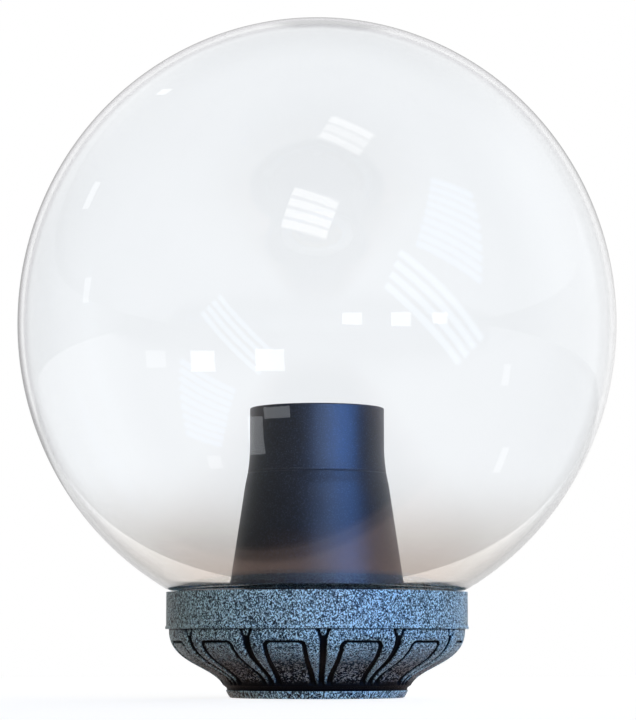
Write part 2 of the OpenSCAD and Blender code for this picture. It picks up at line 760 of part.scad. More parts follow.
module holder_insert() {
    pin_hole_w = pin_w + 4 * fit_gap;
    color("white") difference() {
        rod(insert_d, insert_z, insert_top);
        rod(stem_d + 4 * fit_gap, insert_z - cut, insert_top + cut);
        rod(stem_foot_d + 1, insert_z - cut, insert_top - stem_down + fit_gap);
        rod(2 * spring_well_r, insert_top - spring_well_h, insert_top + cut);
        for (side = [-1, 1])
            translate([side * terminal_out - pin_hole_w / 2, -pin_hole_w / 2, insert_z - cut])
                cube([pin_hole_w, pin_hole_w, pin_up + 2 * cut]);
    }
}

// Rolled sheet shell whose crests and roots are plain cylinders, ring by ring
function shell_line(t) = [for (k = [0 : shell_rings - 1]) let (z = shell_low + k * lamp_pitch) each [
    [crest_r + t, z], [crest_r + t, z + lamp_pitch * 0.3], [root_r + t, z + lamp_pitch * 0.5],
    [root_r + t, z + lamp_pitch * 0.8]]];

module threaded_shell() {
    high = shell_low + shell_rings * lamp_pitch;
    sheet_z = shell_top - shell_t;
    collar = [[crest_r, high], [crest_r, shell_top], [shell_flange_r, shell_top], [shell_flange_r, sheet_z],
        [crest_r + shell_t, sheet_z], [crest_r + shell_t, high]];
    color("goldenrod") {
        rotate_extrude() polygon(concat(shell_line(0), collar, reversed(shell_line(shell_t))));
        for (turn = [90, 270]) rotate([0, 0, turn]) translate([crest_r, -leg_w / 2, insert_top])
            cube([shell_t, leg_w, leg_h + bite]);
    }
}

module centre_contact() {
    stem_low = insert_top - stem_down;
    color("gold") {
        translate([0, 0, button_z]) cylinder(d1 = button_d, d2 = button_d - 2, h = button_t);
        rod(stem_d, stem_low - stem_foot_t, button_z + bite);
        rod(stem_foot_d, stem_low - stem_foot_t, stem_low);
    }
}

module contact_spring() {
    count = spring_coils * spring_steps;
    color("silver") swept_tube([for (i = [0 : count]) let (p = polar(spring_r, 360 * i / spring_steps))
        [p[0], p[1], spring_low + (spring_high - spring_low) * i / count]], spring_wire, 6);
}

module side_contact() {
    color("gold") {
        translate([side_r - side_foot, -side_w / 2, insert_top]) cube([side_foot, side_w, side_t]);
        translate([side_r - side_t, -side_w / 2, insert_top]) cube([side_t, side_w, leg_h - 0.4]);
    }
}

module holder_terminals() {
    color("gold") for (side = [-1, 1]) translate([side * terminal_out, 0, 0]) {
        translate([-terminal_w / 2, -terminal_w / 2, insert_z - terminal_h])
            cube([terminal_w, terminal_w, terminal_h]);
        translate([-pin_w / 2, -pin_w / 2, insert_z - bite]) cube([pin_w, pin_w, pin_up + bite]);
    }
}

module at_ways() {
    for (k = [-1 : 1]) translate([k * way_pitch, block_out, way_z]) children();
}

module at_grips() {
    at_ways() for (side = [-1, 1]) translate([0, side * way_grip, 0]) children();
}

module at_block_screws() {
    for (side = [-1, 1]) translate([side * way_pitch / 2, block_out, floor_t]) children();
}

module along_way(d, length) {
    rotate([90, 0, 0]) cylinder(d = d, h = length, center = true);
}

module terminal_block() {
    color("whitesmoke") difference() {
        translate([-block_l / 2, way_y, floor_t]) cube([block_l, block_w, block_h]);
        at_ways() along_way(tube_d + 4 * fit_gap, block_w + 2 * cut);
        at_grips() rod(grip_screw_d + 8 * fit_gap, 0, block_h);
        at_block_screws() rod(block_screw_d + 4 * fit_gap, -cut, block_h + cut);
    }
}

module terminal_tubes() {
    color("gold") difference() {
        at_ways() along_way(tube_d, block_w - 2);
        at_ways() along_way(tube_d - 2 * tube_wall, block_w + 2 * cut);
        at_grips() rod(grip_screw_d + 2 * fit_gap, 0, tube_d);
    }
}

module terminal_screws() {
    low = wire_d / 2 + fit_gap;
    top = block_h - way_up - 0.6;
    color("silver") at_grips() difference() {
        rod(grip_screw_d, low, top);
        translate([-grip_screw_d, -slot_w / 3, top - slot_depth])
            cube([2 * grip_screw_d, slot_w * 2 / 3, 2 * slot_depth]);
    }
}

module block_screws() {
    head_d = block_screw_d + 1.6;
    color("silver") at_block_screws() difference() {
        union() {
            rod(block_screw_d, -2, block_h + bite);
            rod(head_d, block_h, block_h + 1.4);
        }
        translate([-head_d, -slot_w / 2, block_h + bite]) cube([2 * head_d, slot_w, 2 * slot_depth]);
    }
}

module cord_clamp() {
    color("black") on_floor(clamp_turn, clamp_out, 0, boss_top) difference() {
        union() {
            translate([-clamp_w / 2, -clamp_l / 2, 0]) cube([clamp_w, clamp_l, clamp_foot_t]);
            rotate([0, 90, 0]) cylinder(r = saddle_r, h = clamp_w, center = true);
        }
        rotate([0, 90, 0]) cylinder(d = saddle_bore_d, h = clamp_w + 2 * cut, center = true);
        translate([-clamp_w, -clamp_l, -2 * saddle_r]) cube([2 * clamp_w, 2 * clamp_l, 2 * saddle_r]);
        for (side = [-1, 1]) translate([0, side * clamp_screw_out, 0])
            rod(screw_hole_d, -cut, clamp_foot_t + cut);
    }
}

module clamp_screws() {
    color("silver") for (side = [-1, 1])
        on_floor(clamp_turn, clamp_out, side * clamp_screw_out, boss_top + clamp_foot_t)
            pan_screw(clamp_screw_l, clamp_head_d, pan_head_h);
}

module earth_tag() {
    color("gold") on_floor(earth_turn, clamp_out, 0, boss_top) rotate([0, 0, tag_turn - earth_turn])
        difference() {
            union() {
                rod(boss_d, 0, tag_t);
                translate([0, -tag_w / 2, 0]) cube([tag_reach - bite, tag_w, tag_t]);
                translate([tag_reach - crimp_l, -tag_w / 2, 0]) cube([crimp_l, tag_w, crimp_h]);
            }
            rod(screw_hole_d, -cut, tag_t + cut);
        }
}

module earth_screw() {
    color("silver") on_floor(earth_turn, clamp_out, 0, boss_top + tag_t)
        pan_screw(earth_screw_l, pan_head_d, pan_head_h);
}

// Routes of the wires: their ends lie in the block's ways, the holder's terminals and the earth tag's crimp
function way_start(x) = [[x, way_y + wire_in, way_z], [x, way_y - 1, way_z]];
function holder_end(side) = [[side * wire_apart, 0, nipple_low], [side * wire_apart, 0, nipple_high],
    [side * (wire_apart + 0.2), 0, nipple_high + 1.3], [side * (wire_apart + 0.8), 0, nipple_high + 2.6],
    [side * (wire_apart + 2.2), 0, terminal_z], [side * terminal_face, 0, terminal_z]];
live_route = concat(way_start(-way_pitch), [[-7.6, 10.2, 9.8], [-6.4, 7.6, 12.6], [-4.8, 4.8, 17.5],
    [-3, 2, 24], [-1.9, 0.4, 32], [-1.6, 0, 40]], holder_end(-1));
neutral_route = concat(way_start(0), [[0.2, 10.2, 9.8], [0.8, 7.6, 12.6], [1.8, 4.8, 17.5],
    [2, 2, 24], [1.7, 0.4, 32], [1.6, 0, 40]], holder_end(1));
crimp_z = boss_top + crimp_h / 2;
tag_end = polar(clamp_out, earth_turn) + polar(tag_reach + fit_gap, tag_turn);
tag_lead = tag_end + polar(2.6, tag_turn);
earth_route = concat(way_start(way_pitch), [[8.4, 10, 8.9], [9.8, 7.2, 8.6], [11.8, 4.4, 8.1],
    [tag_lead[0], tag_lead[1], crimp_z], [tag_end[0], tag_end[1], crimp_z]]);

module wire_live() {
    color("saddlebrown") swept_tube(live_route, wire_d, wire_sides);
}

module wire_neutral() {
    color("royalblue") swept_tube(neutral_route, wire_d, wire_sides);
}

module wire_earth() {
    color("yellowgreen") swept_tube(earth_route, wire_d, wire_sides);
}

globe();
neck_gasket();
collar_ring();
ring_screws();
fluted_base();
foot_gasket();
cable_grommet();
wiring_tray();
lamp_shroud();
shroud_screws();
holder_nipple();
nipple_washer();
nipple_nut();
holder_dome();
holder_sleeve();
holder_insert();
threaded_shell();
centre_contact();
contact_spring();
side_contact();
holder_terminals();
terminal_block();
terminal_tubes();
terminal_screws();
block_screws();
cord_clamp();
clamp_screws();
earth_tag();
earth_screw();
wire_live();
wire_neutral();
wire_earth();
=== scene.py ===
# Globe light head: a clear globe on a speckled cast base of twelve leaves, its lampholder in a dark shroud.
# Metres, +Z up, origin at the centre of the foot, with the camera towards -Y.
import json
import math

import bmesh
import bpy
import numpy as np
from mathutils import Matrix, Vector

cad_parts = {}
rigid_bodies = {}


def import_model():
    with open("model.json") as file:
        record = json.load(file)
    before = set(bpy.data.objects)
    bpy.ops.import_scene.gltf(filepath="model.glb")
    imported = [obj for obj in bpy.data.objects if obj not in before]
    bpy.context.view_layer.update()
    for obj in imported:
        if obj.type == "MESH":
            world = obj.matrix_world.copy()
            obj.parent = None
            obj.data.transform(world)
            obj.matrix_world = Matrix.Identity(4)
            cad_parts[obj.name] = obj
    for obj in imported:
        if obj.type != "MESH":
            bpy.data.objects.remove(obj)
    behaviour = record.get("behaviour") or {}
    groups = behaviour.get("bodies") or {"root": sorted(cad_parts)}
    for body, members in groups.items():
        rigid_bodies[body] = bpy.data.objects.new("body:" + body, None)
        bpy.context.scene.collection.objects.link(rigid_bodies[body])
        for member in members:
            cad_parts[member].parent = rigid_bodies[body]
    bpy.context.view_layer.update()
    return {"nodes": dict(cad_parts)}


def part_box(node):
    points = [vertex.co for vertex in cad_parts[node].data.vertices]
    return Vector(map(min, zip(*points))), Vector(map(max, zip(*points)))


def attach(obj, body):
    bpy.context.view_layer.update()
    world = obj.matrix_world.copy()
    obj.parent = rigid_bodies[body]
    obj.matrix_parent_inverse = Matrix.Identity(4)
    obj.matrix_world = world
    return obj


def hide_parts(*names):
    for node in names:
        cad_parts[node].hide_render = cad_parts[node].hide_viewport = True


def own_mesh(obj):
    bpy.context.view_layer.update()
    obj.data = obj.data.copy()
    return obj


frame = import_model()

MM = 0.001


def low(node, axis=2):
    """Lowest coordinate of a CAD node along an axis."""
    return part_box(node)[0][axis]


def high(node, axis=2):
    """Highest coordinate of a CAD node along an axis."""
    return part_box(node)[1][axis]


# Heights read from the frame, from the foot up
BASE_TOP = high("fluted_base")
RING_TOP = high("collar_ring")
SEAT_Z = low("neck_gasket")
RIM_Z = low("globe")
TRAY_TOP = high("wiring_tray")
MOUTH_Z = high("lamp_shroud")
HOLDER_Z = low("holder_dome")
HOLDER_TOP = high("holder_sleeve")
INSERT_Z = low("holder_insert")
INSERT_TOP = high("holder_insert")
GLOBE_TOP = high("globe")

# Radii read from the frame, and the ones that follow from them
GLOBE_R = high("globe", 0)
LIP_OUT = 0.35 * MM
RING_R = high("collar_ring", 0) - LIP_OUT
RING_WALL = 3.7 * MM
RING_BORE_R = RING_R - RING_WALL
THREAD_DEPTH = 1.7 * MM
THREAD_GAP = 0.5 * MM
NECK_R = RING_BORE_R - THREAD_DEPTH - THREAD_GAP
BASE_R = RING_R - 1.2 * MM
FLANGE_R = high("lamp_shroud", 0)
HOLDER_R = high("holder_sleeve", 0)

# Globe: an upright round that flattens into a shoulder over its neck
GLOBE_HALF_H = 128 * MM
GLOBE_Z = GLOBE_TOP - 129.2 * MM
GLOBE_WALL = 2.5 * MM
SHOULDER_BEND = 8 * MM
NECK_BEND = 1.8 * MM
SHOULDER_FLAT = 0.6 * MM
SHOULDER_Z = RING_TOP + 0.3 * MM

# Quick thread between the globe's neck and the ring
THREAD_STARTS = 3
THREAD_LEAD = 15 * MM
THREAD_ROOT_W = 2.2 * MM
THREAD_CREST_W = 1.4 * MM
NECK_ARC = 90
RING_ARC = 60
THREAD_LAG = (NECK_ARC - RING_ARC) / 2
RING_THREAD_Z = RING_TOP - 1 * MM - THREAD_ROOT_W / 2 - THREAD_LEAD * RING_ARC / 360
FLANK_GAP = 0.3 * MM
NECK_THREAD_Z = (RING_THREAD_Z - THREAD_LEAD * THREAD_LAG / 360 - (THREAD_ROOT_W + THREAD_CREST_W) / 2
                 - FLANK_GAP)

# Cast base and its leaves
FOOT_R = 36 * MM
FOOT_TOP_R = 38.6 * MM
FOOT_H = 4.2 * MM
BASE_WALL = 3 * MM
FLOOR_T = 4 * MM
LEAF_COUNT = 12
LEAF_TURN = 2.4
LEAF_FOOT_Z = FOOT_H + 1 * MM
GROOVE_DEPTH = 1.3 * MM
STEM_HALF_TOP, STEM_HALF_FOOT = 1.45 * MM, 1.05 * MM
ARM_HALF = 0.6 * MM
CHANNEL_HALF_TOP, CHANNEL_HALF_FOOT = 0.85 * MM, 1.15 * MM
ARCH_HALF = 0.5 * MM
FORK_Z = BASE_TOP - 4.3 * MM
FORK_SPREAD = 2.5 * MM
PANEL_HALF_TOP = 8.3 * MM
PANEL_HALF_FOOT = 6.9 * MM
PANEL_TOP = BASE_TOP - 5.4 * MM
PANEL_CORNER = 2.6 * MM

# Fixings: the radii of their circles and their turns from +X, in degrees
THIRDS = (0, 120, 240)
HEAD_LAND = 0.7 * MM
RING_SCREW_R = FLANGE_R + 1.7 * MM + 3 * MM
RING_SCREW_TURN = 30
SHROUD_SCREW_R = FLANGE_R - HEAD_LAND - 3 * MM
SHROUD_SCREW_TURN = 90
SCREW_R = 1.6 * MM
HEAD_R = 3 * MM
SLOT_W = 0.8 * MM
BOLT_CIRCLE_R = 23 * MM
BOLT_TURN = 30


# Meshes

def eased(points, steps=5):
    """An outline of (r, z) or (r, z, bend) points, where a bend rounds its corner from that far off."""
    line = []
    for i, point in enumerate(points):
        here = np.array(point[:2])
        bend = point[2] if len(point) > 2 else 0
        if bend == 0:
            line.append(tuple(here))
            continue
        before = np.array(points[i - 1][:2])
        after = np.array(points[(i + 1) % len(points)][:2])
        start = here + (before - here) * bend / np.linalg.norm(before - here)
        end = here + (after - here) * bend / np.linalg.norm(after - here)
        for t in np.linspace(0, 1, steps + 1):
            line.append(tuple((1 - t) ** 2 * start + 2 * t * (1 - t) * here + t * t * end))
    return line


def spread(line, step):
    """The same closed outline with points added wherever two lie more than a step apart."""
    out = []
    for a, b in zip(line, line[1:] + line[:1]):
        count = max(1, math.ceil(math.dist(a, b) / step))
        out += [tuple(np.array(a) + (np.array(b) - np.array(a)) * k / count) for k in range(count)]
    return out


def convexity(line):
    """How sharply each point of a closed outline turns outwards: 0 where flat or hollow, 1 at an edge."""
    edge_radius = 0.8 * MM
    points = np.array(line)
    into = points - np.roll(points, 1, axis=0)
    out = np.roll(points, -1, axis=0) - points
    turn = np.arctan2(into[:, 0] * out[:, 1] - into[:, 1] * out[:, 0], (into * out).sum(axis=1))
    reach = (np.linalg.norm(into, axis=1) + np.linalg.norm(out, axis=1)) / 2
    return np.clip(turn / np.maximum(reach, 0.05 * MM) * edge_radius, 0, 1)


def turned_left(line):
    """The outline with its material on the left, so that turned faces point outwards."""
    area = sum(a[0] * b[1] - b[0] * a[1] for a, b in zip(line, line[1:] + line[:1]))
    return line if area > 0 else line[::-1]


def shade(mesh, angle=38):
    """Smooth shading with sharp edges where faces meet at more than an angle."""
    mesh.shade_smooth()
    mesh.set_sharp_from_angle(angle=math.radians(angle))


def new_object(name, mesh):
    obj = bpy.data.objects.new(name, mesh)
    bpy.context.scene.collection.objects.link(obj)
    return obj


def mesh_object(name, vertices, faces, angle=38, **values):
    """An object of a mesh, with each named list of values as a point attribute."""
    mesh = bpy.data.meshes.new(name)
    mesh.from_pydata([tuple(v) for v in vertices], [], faces)
    for label, numbers in values.items():
        layer = mesh.attributes.new(label, "FLOAT", "POINT")
        layer.data.foreach_set("value", np.asarray(numbers, dtype=np.float32))
    shade(mesh, angle)
    return new_object(name, mesh)


def lathe(name, line, turns=192, grow=None, angle=38):
    """A closed outline turned about the Z axis. grow(angles, z, r) gives what to add to each radius."""
    line = turned_left(line)
    edges = convexity(line)
    angles = np.arange(turns) * 2 * math.pi / turns
    vertices, sharpness, rows = [], [], []
    for (r, z), edge in zip(line, edges):
        start = len(vertices)
        if r < 1e-7:
            vertices.append((0, 0, z))
            sharpness.append(edge)
            rows.append([start] * turns)
            continue
        radii = np.full(turns, r)
        if grow is not None:
            radii = radii + grow(angles, z, r)
        vertices += zip(radii * np.cos(angles), radii * np.sin(angles), np.full(turns, z))
        sharpness += [edge] * turns
        rows.append(list(range(start, start + turns)))
    faces = []
    for a, b in zip(rows, rows[1:] + rows[:1]):
        for j in range(turns):
            k = (j + 1) % turns
            face = list(dict.fromkeys((a[j], a[k], b[k], b[j])))
            if len(face) > 2:
                faces.append(face)
    return mesh_object(name, vertices, faces, angle, edge=sharpness)


def evaluated_mesh(obj):
    """The mesh of an object with its modifiers applied."""
    graph = bpy.context.evaluated_depsgraph_get()
    return bpy.data.meshes.new_from_object(
        obj.evaluated_get(graph), preserve_all_data_layers=True, depsgraph=graph)


def apply_modifiers(obj, angle):
    mesh = evaluated_mesh(obj)
    obj.modifiers.clear()
    obj.data = mesh
    shade(mesh, angle)


def joined(name, objects):
    """One object of several meshes."""
    whole = bmesh.new()
    for obj in objects:
        whole.from_mesh(obj.data)
        bpy.data.objects.remove(obj)
    mesh = bpy.data.meshes.new(name)
    whole.to_mesh(mesh)
    whole.free()
    return new_object(name, mesh)


def combined(obj, tools, operation, angle=38):
    """The object with tools cut out of it or fused to it."""
    tool = joined("tool", tools)
    step = obj.modifiers.new(operation, "BOOLEAN")
    step.operation = operation
    step.solver = "MANIFOLD"
    step.object = tool
    apply_modifiers(obj, angle)
    bpy.data.objects.remove(tool)
    return obj


def placed(obj, matrix):
    """Moves an object's mesh, so that the object itself stays at the origin."""
    obj.data.transform(matrix)
    return obj


def around_z(turn, r=0.0, z=0.0):
    """The matrix that moves a piece out along +X to a radius and turns it about Z, in degrees."""
    return Matrix.Rotation(math.radians(turn), 4, "Z") @ Matrix.Translation((r, 0, z))


def rod(name, r, z0, z1, bend=0.0, turns=32):
    """A plain round rod about Z, with eased edges where a bend is given."""
    return lathe(name, eased([(0, z0), (r, z0, bend), (r, z1, bend), (0, z1)], 3), turns)


def block(name, size, centre, bend=0.0):
    """A rectangular piece, with eased edges where a bend is given."""
    body = bmesh.new()
    bmesh.ops.create_cube(body, size=1)
    bmesh.ops.scale(body, vec=size, verts=body.verts)
    if bend:
        bmesh.ops.bevel(body, geom=body.edges[:], offset=bend, segments=3, profile=0.5, affect="EDGES")
    bmesh.ops.translate(body, vec=centre, verts=body.verts)
    mesh = bpy.data.meshes.new(name)
    body.to_mesh(mesh)
    body.free()
    shade(mesh)
    return new_object(name, mesh)


# Geometry node trees

class Tree:
    """Adds nodes to a node tree and joins them by the names of their sockets."""

    def __init__(self, tree):
        self.tree = tree

    def feed(self, socket, value):
        """Gives a socket a plain value, or links another node's output to it."""
        if isinstance(value, bpy.types.NodeSocket):
            self.tree.links.new(value, socket)
        else:
            socket.default_value = value

    def add(self, kind, inputs=None, **settings):
        node = self.tree.nodes.new(kind)
        for name, value in settings.items():
            setattr(node, name, value)
        for name, value in (inputs or {}).items():
            self.feed(node.inputs[name], value)
        return node

    def math(self, operation, *values):
        node = self.add("ShaderNodeMath", operation=operation)
        for socket, value in zip(node.inputs, values):
            self.feed(socket, value)
        return node.outputs[0]

    def plus(self, a, b):
        return self.math("ADD", a, b)

    def minus(self, a, b):
        return self.math("SUBTRACT", a, b)

    def times(self, a, b):
        return self.math("MULTIPLY", a, b)

    def larger(self, a, b):
        return self.math("MAXIMUM", a, b)

    def smaller(self, a, b):
        return self.math("MINIMUM", a, b)


def node_group(name, kind, inputs, outputs):
    """An empty node group with sockets given as (name, kind of socket, value), and its two end nodes."""
    tree = bpy.data.node_groups.new(name, kind)
    for label, socket, value in inputs:
        item = tree.interface.new_socket(label, in_out="INPUT", socket_type=socket)
        if value is not None:
            item.default_value = value
    for label, socket in outputs:
        tree.interface.new_socket(label, in_out="OUTPUT", socket_type=socket)
    wiring = Tree(tree)
    return wiring, wiring.add("NodeGroupInput").outputs, wiring.add("NodeGroupOutput")


GEOMETRY = "NodeSocketGeometry"
LENGTH = "NodeSocketFloat"
COUNT = "NodeSocketInt"
MATERIAL = "NodeSocketMaterial"


def end_tree(wiring, given, result, geometry):
    """Ends a tree in one mesh with its doubles merged, in its own material."""
    real = wiring.add("GeometryNodeRealizeInstances", {"Geometry": geometry})
    merged = wiring.add("GeometryNodeMergeByDistance", {"Geometry": real.outputs[0], "Distance": 1e-6})
    painted = wiring.add("GeometryNodeSetMaterial", {
        "Geometry": merged.outputs[0], "Material": given["Material"]})
    wiring.feed(result.inputs["Geometry"], painted.outputs[0])


def ring_tree():
    """Copies of a piece in a ring about the Z axis."""
    wiring, given, result = node_group("ring_of_pieces", "GeometryNodeTree", [
        ("Geometry", GEOMETRY, None), ("Count", COUNT, 3), ("Radius", LENGTH, 0.0), ("Turn", LENGTH, 0.0),
        ("Material", MATERIAL, None)], [("Geometry", GEOMETRY)])
    step = wiring.math("DIVIDE", 2 * math.pi, given["Count"])
    index = wiring.add("GeometryNodeInputIndex").outputs[0]
    turn = wiring.plus(wiring.times(index, step), given["Turn"])
    place = wiring.add("ShaderNodeCombineXYZ", {
        "X": wiring.times(given["Radius"], wiring.math("COSINE", turn)),
        "Y": wiring.times(given["Radius"], wiring.math("SINE", turn))})
    facing = wiring.add("ShaderNodeCombineXYZ", {"Z": turn})
    rotation = wiring.add("FunctionNodeEulerToRotation", {"Euler": facing.outputs[0]})
    points = wiring.add("GeometryNodePoints", {"Count": given["Count"], "Position": place.outputs[0]})
    copies = wiring.add("GeometryNodeInstanceOnPoints", {
        "Points": points.outputs[0], "Instance": given["Geometry"], "Rotation": rotation.outputs[0]})
    end_tree(wiring, given, result, copies.outputs[0])
    return wiring.tree


def coil_tree():
    """A round wire wound into an open coil that climbs the Z axis."""
    wiring, given, result = node_group("wound_coil", "GeometryNodeTree", [
        ("Turns", LENGTH, 4.0), ("Radius", LENGTH, 2 * MM), ("Height", LENGTH, 3 * MM),
        ("Wire", LENGTH, 0.5 * MM), ("Material", MATERIAL, None)], [("Geometry", GEOMETRY)])
    helix = wiring.add("GeometryNodeCurveSpiral", {
        "Resolution": 40, "Rotations": given["Turns"], "Start Radius": given["Radius"],
        "End Radius": given["Radius"], "Height": given["Height"]})
    section = wiring.add("GeometryNodeCurvePrimitiveCircle", {
        "Resolution": 12, "Radius": wiring.times(given["Wire"], 0.5)})
    tube = wiring.add("GeometryNodeCurveToMesh", {
        "Curve": helix.outputs[0], "Profile Curve": section.outputs[0], "Fill Caps": True})
    end_tree(wiring, given, result, tube.outputs[0])
    return wiring.tree


def grown(name, tree, values, seed=None, angle=38):
    """The plain object that a tree makes, of a seed piece where it takes one."""
    start = seed or new_object(name, bpy.data.meshes.new(name))
    step = start.modifiers.new(name, "NODES")
    step.node_group = tree
    for item in tree.interface.items_tree:
        if item.item_type == "SOCKET" and item.in_out == "INPUT" and item.name in values:
            step[item.identifier] = values[item.name]
    mesh = evaluated_mesh(start)
    bpy.data.objects.remove(start)
    shade(mesh, angle)
    return new_object(name, mesh)


# Shader node groups

VALUE = "NodeSocketFloat"
COLOUR = "NodeSocketColor"
VECTOR = "NodeSocketVector"


def mixed(wiring, factor, a, b):
    """A colour between a and b."""
    node = wiring.add("ShaderNodeMix", data_type="RGBA")
    sockets = {s.identifier: s for s in node.inputs}
    for identifier, value in (("Factor_Float", factor), ("A_Color", a), ("B_Color", b)):
        wiring.feed(sockets[identifier], value)
    return next(s for s in node.outputs if s.identifier == "Result_Color")


def between(wiring, value, low_in, high_in, low_out=0.0, high_out=1.0):
    """A value carried smoothly from one range to another."""
    node = wiring.add("ShaderNodeMapRange", {
        "Value": value, "From Min": low_in, "From Max": high_in, "To Min": low_out, "To Max": high_out},
        interpolation_type="SMOOTHSTEP")
    return node.outputs[0]


def between_two(wiring, factor, a, b):
    """The value a where factor is 0 and the value b where it is 1."""
    return wiring.plus(a, wiring.times(factor, wiring.minus(b, a)))


def axes(wiring, vector):
    """The X, Y and Z of a vector."""
    return wiring.add("ShaderNodeSeparateXYZ", {"Vector": vector}).outputs


def kept_on_mesh(wiring, name):
    """A value kept on the points of the mesh."""
    return wiring.add("ShaderNodeAttribute", attribute_name=name).outputs["Fac"]


def speckle_group():
    """Pale flecks rubbed over a dark cast ground: colour, roughness and height."""
    cloud_share, grain_share, drift_share, rubbed_and_highlit_share = 0.35, 0.65, 0.2, 0.1
    toned, flecked, glossed, raised = (0.36, 0.44), (0.54, 0.68), (0.35, 0.7), (0.3, 0.7)
    wiring, given, result = node_group("rubbed_speckle", "ShaderNodeTree", [
        ("Vector", VECTOR, None), ("Flecks per Metre", VALUE, 900.0),
        ("Ground", COLOUR, (0.02, 0.03, 0.03, 1)), ("Tone", COLOUR, (0.1, 0.15, 0.17, 1)),
        ("Fleck", COLOUR, (0.4, 0.5, 0.55, 1)), ("Rubbed and Highlit", VALUE, 0.0)],
        [("Color", COLOUR), ("Roughness", VALUE), ("Height", VALUE)])
    cloud = wiring.add("ShaderNodeTexNoise", {
        "Vector": given["Vector"], "Scale": given["Flecks per Metre"], "Detail": 1.0, "Roughness": 0.6})
    grains = wiring.add("ShaderNodeTexVoronoi", {
        "Vector": given["Vector"], "Scale": given["Flecks per Metre"], "Randomness": 1.0})
    drift = wiring.add("ShaderNodeTexNoise", {"Vector": given["Vector"], "Scale": 60.0, "Detail": 2.0})
    lot = wiring.add("ShaderNodeSeparateColor", {"Color": grains.outputs["Color"]}).outputs[0]
    level = wiring.plus(wiring.times(cloud.outputs[0], cloud_share), wiring.times(lot, grain_share))
    level = wiring.plus(level, wiring.times(wiring.minus(drift.outputs[0], 0.5), drift_share))
    # Rubbed edges come out lighter: partly wear, partly painted highlight.
    level = wiring.plus(level, wiring.times(given["Rubbed and Highlit"], rubbed_and_highlit_share))
    ground = mixed(wiring, between(wiring, level, *toned), given["Ground"], given["Tone"])
    colour = mixed(wiring, between(wiring, level, *flecked), ground, given["Fleck"])
    wiring.feed(result.inputs["Color"], colour)
    wiring.feed(result.inputs["Roughness"], between(wiring, level, *glossed, 0.55, 0.36))
    wiring.feed(result.inputs["Height"], between(wiring, level, *raised))
    return wiring.tree


def grain_group():
    """Fine moulded or drawn grain: a height and a roughness near a given one."""
    wiring, given, result = node_group("fine_grain", "ShaderNodeTree", [
        ("Vector", VECTOR, None), ("Grains per Metre", VALUE, 2500.0), ("Roughness", VALUE, 0.4),
        ("Unevenness", VALUE, 0.1)], [("Height", VALUE), ("Roughness", VALUE), ("Drift", VALUE)])
    grain = wiring.add("ShaderNodeTexNoise", {
        "Vector": given["Vector"], "Scale": given["Grains per Metre"], "Detail": 2.0, "Roughness": 0.6})
    drift = wiring.add("ShaderNodeTexNoise", {"Vector": given["Vector"], "Scale": 45.0, "Detail": 3.0})
    sway = wiring.times(wiring.minus(drift.outputs[0], 0.5), given["Unevenness"])
    fleck = wiring.times(wiring.minus(grain.outputs[0], 0.5), given["Unevenness"])
    rough = wiring.plus(given["Roughness"], wiring.plus(sway, fleck))
    wiring.feed(result.inputs["Height"], grain.outputs[0])
    wiring.feed(result.inputs["Roughness"], rough)
    wiring.feed(result.inputs["Drift"], drift.outputs[0])
    return wiring.tree


def wear_group():
    """A colour rubbed through to another on the edges of a piece, in a broken line."""
    wiring, given, result = node_group("edge_wear", "ShaderNodeTree", [
        ("Vector", VECTOR, None), ("Color", COLOUR, (0.1, 0.1, 0.1, 1)), ("Bare", COLOUR, (0.5, 0.5, 0.5, 1)),
        ("Amount", VALUE, 0.5)], [("Color", COLOUR), ("Worn", VALUE)])
    edge = between(wiring, kept_on_mesh(wiring, "edge"), 0.2, 0.8)
    broken = wiring.add("ShaderNodeTexNoise", {"Vector": given["Vector"], "Scale": 420.0, "Detail": 3.0})
    worn = wiring.times(edge, between(wiring, broken.outputs[0], 0.35, 0.6))
    worn = wiring.times(worn, given["Amount"])
    wiring.feed(result.inputs["Color"], mixed(wiring, worn, given["Color"], given["Bare"]))
    wiring.feed(result.inputs["Worn"], worn)
    return wiring.tree


SPECKLE = speckle_group()
GRAIN = grain_group()
WEAR = wear_group()


# Materials

def new_material(name):
    """An empty material with its output, its wiring and its object coordinates."""
    material = bpy.data.materials.new(name)
    material.use_nodes = True
    material.node_tree.nodes.clear()
    wiring = Tree(material.node_tree)
    output = wiring.add("ShaderNodeOutputMaterial")
    where = wiring.add("ShaderNodeTexCoord").outputs["Object"]
    return material, wiring, output, where


def placed_group(wiring, group, inputs):
    node = wiring.add("ShaderNodeGroup", node_tree=group)
    for name, value in inputs.items():
        wiring.feed(node.inputs[name], value)
    return node.outputs


def bumped(wiring, height, depth, strength=1.0):
    node = wiring.add("ShaderNodeBump", {"Height": height, "Distance": depth, "Strength": strength})
    return node.outputs[0]


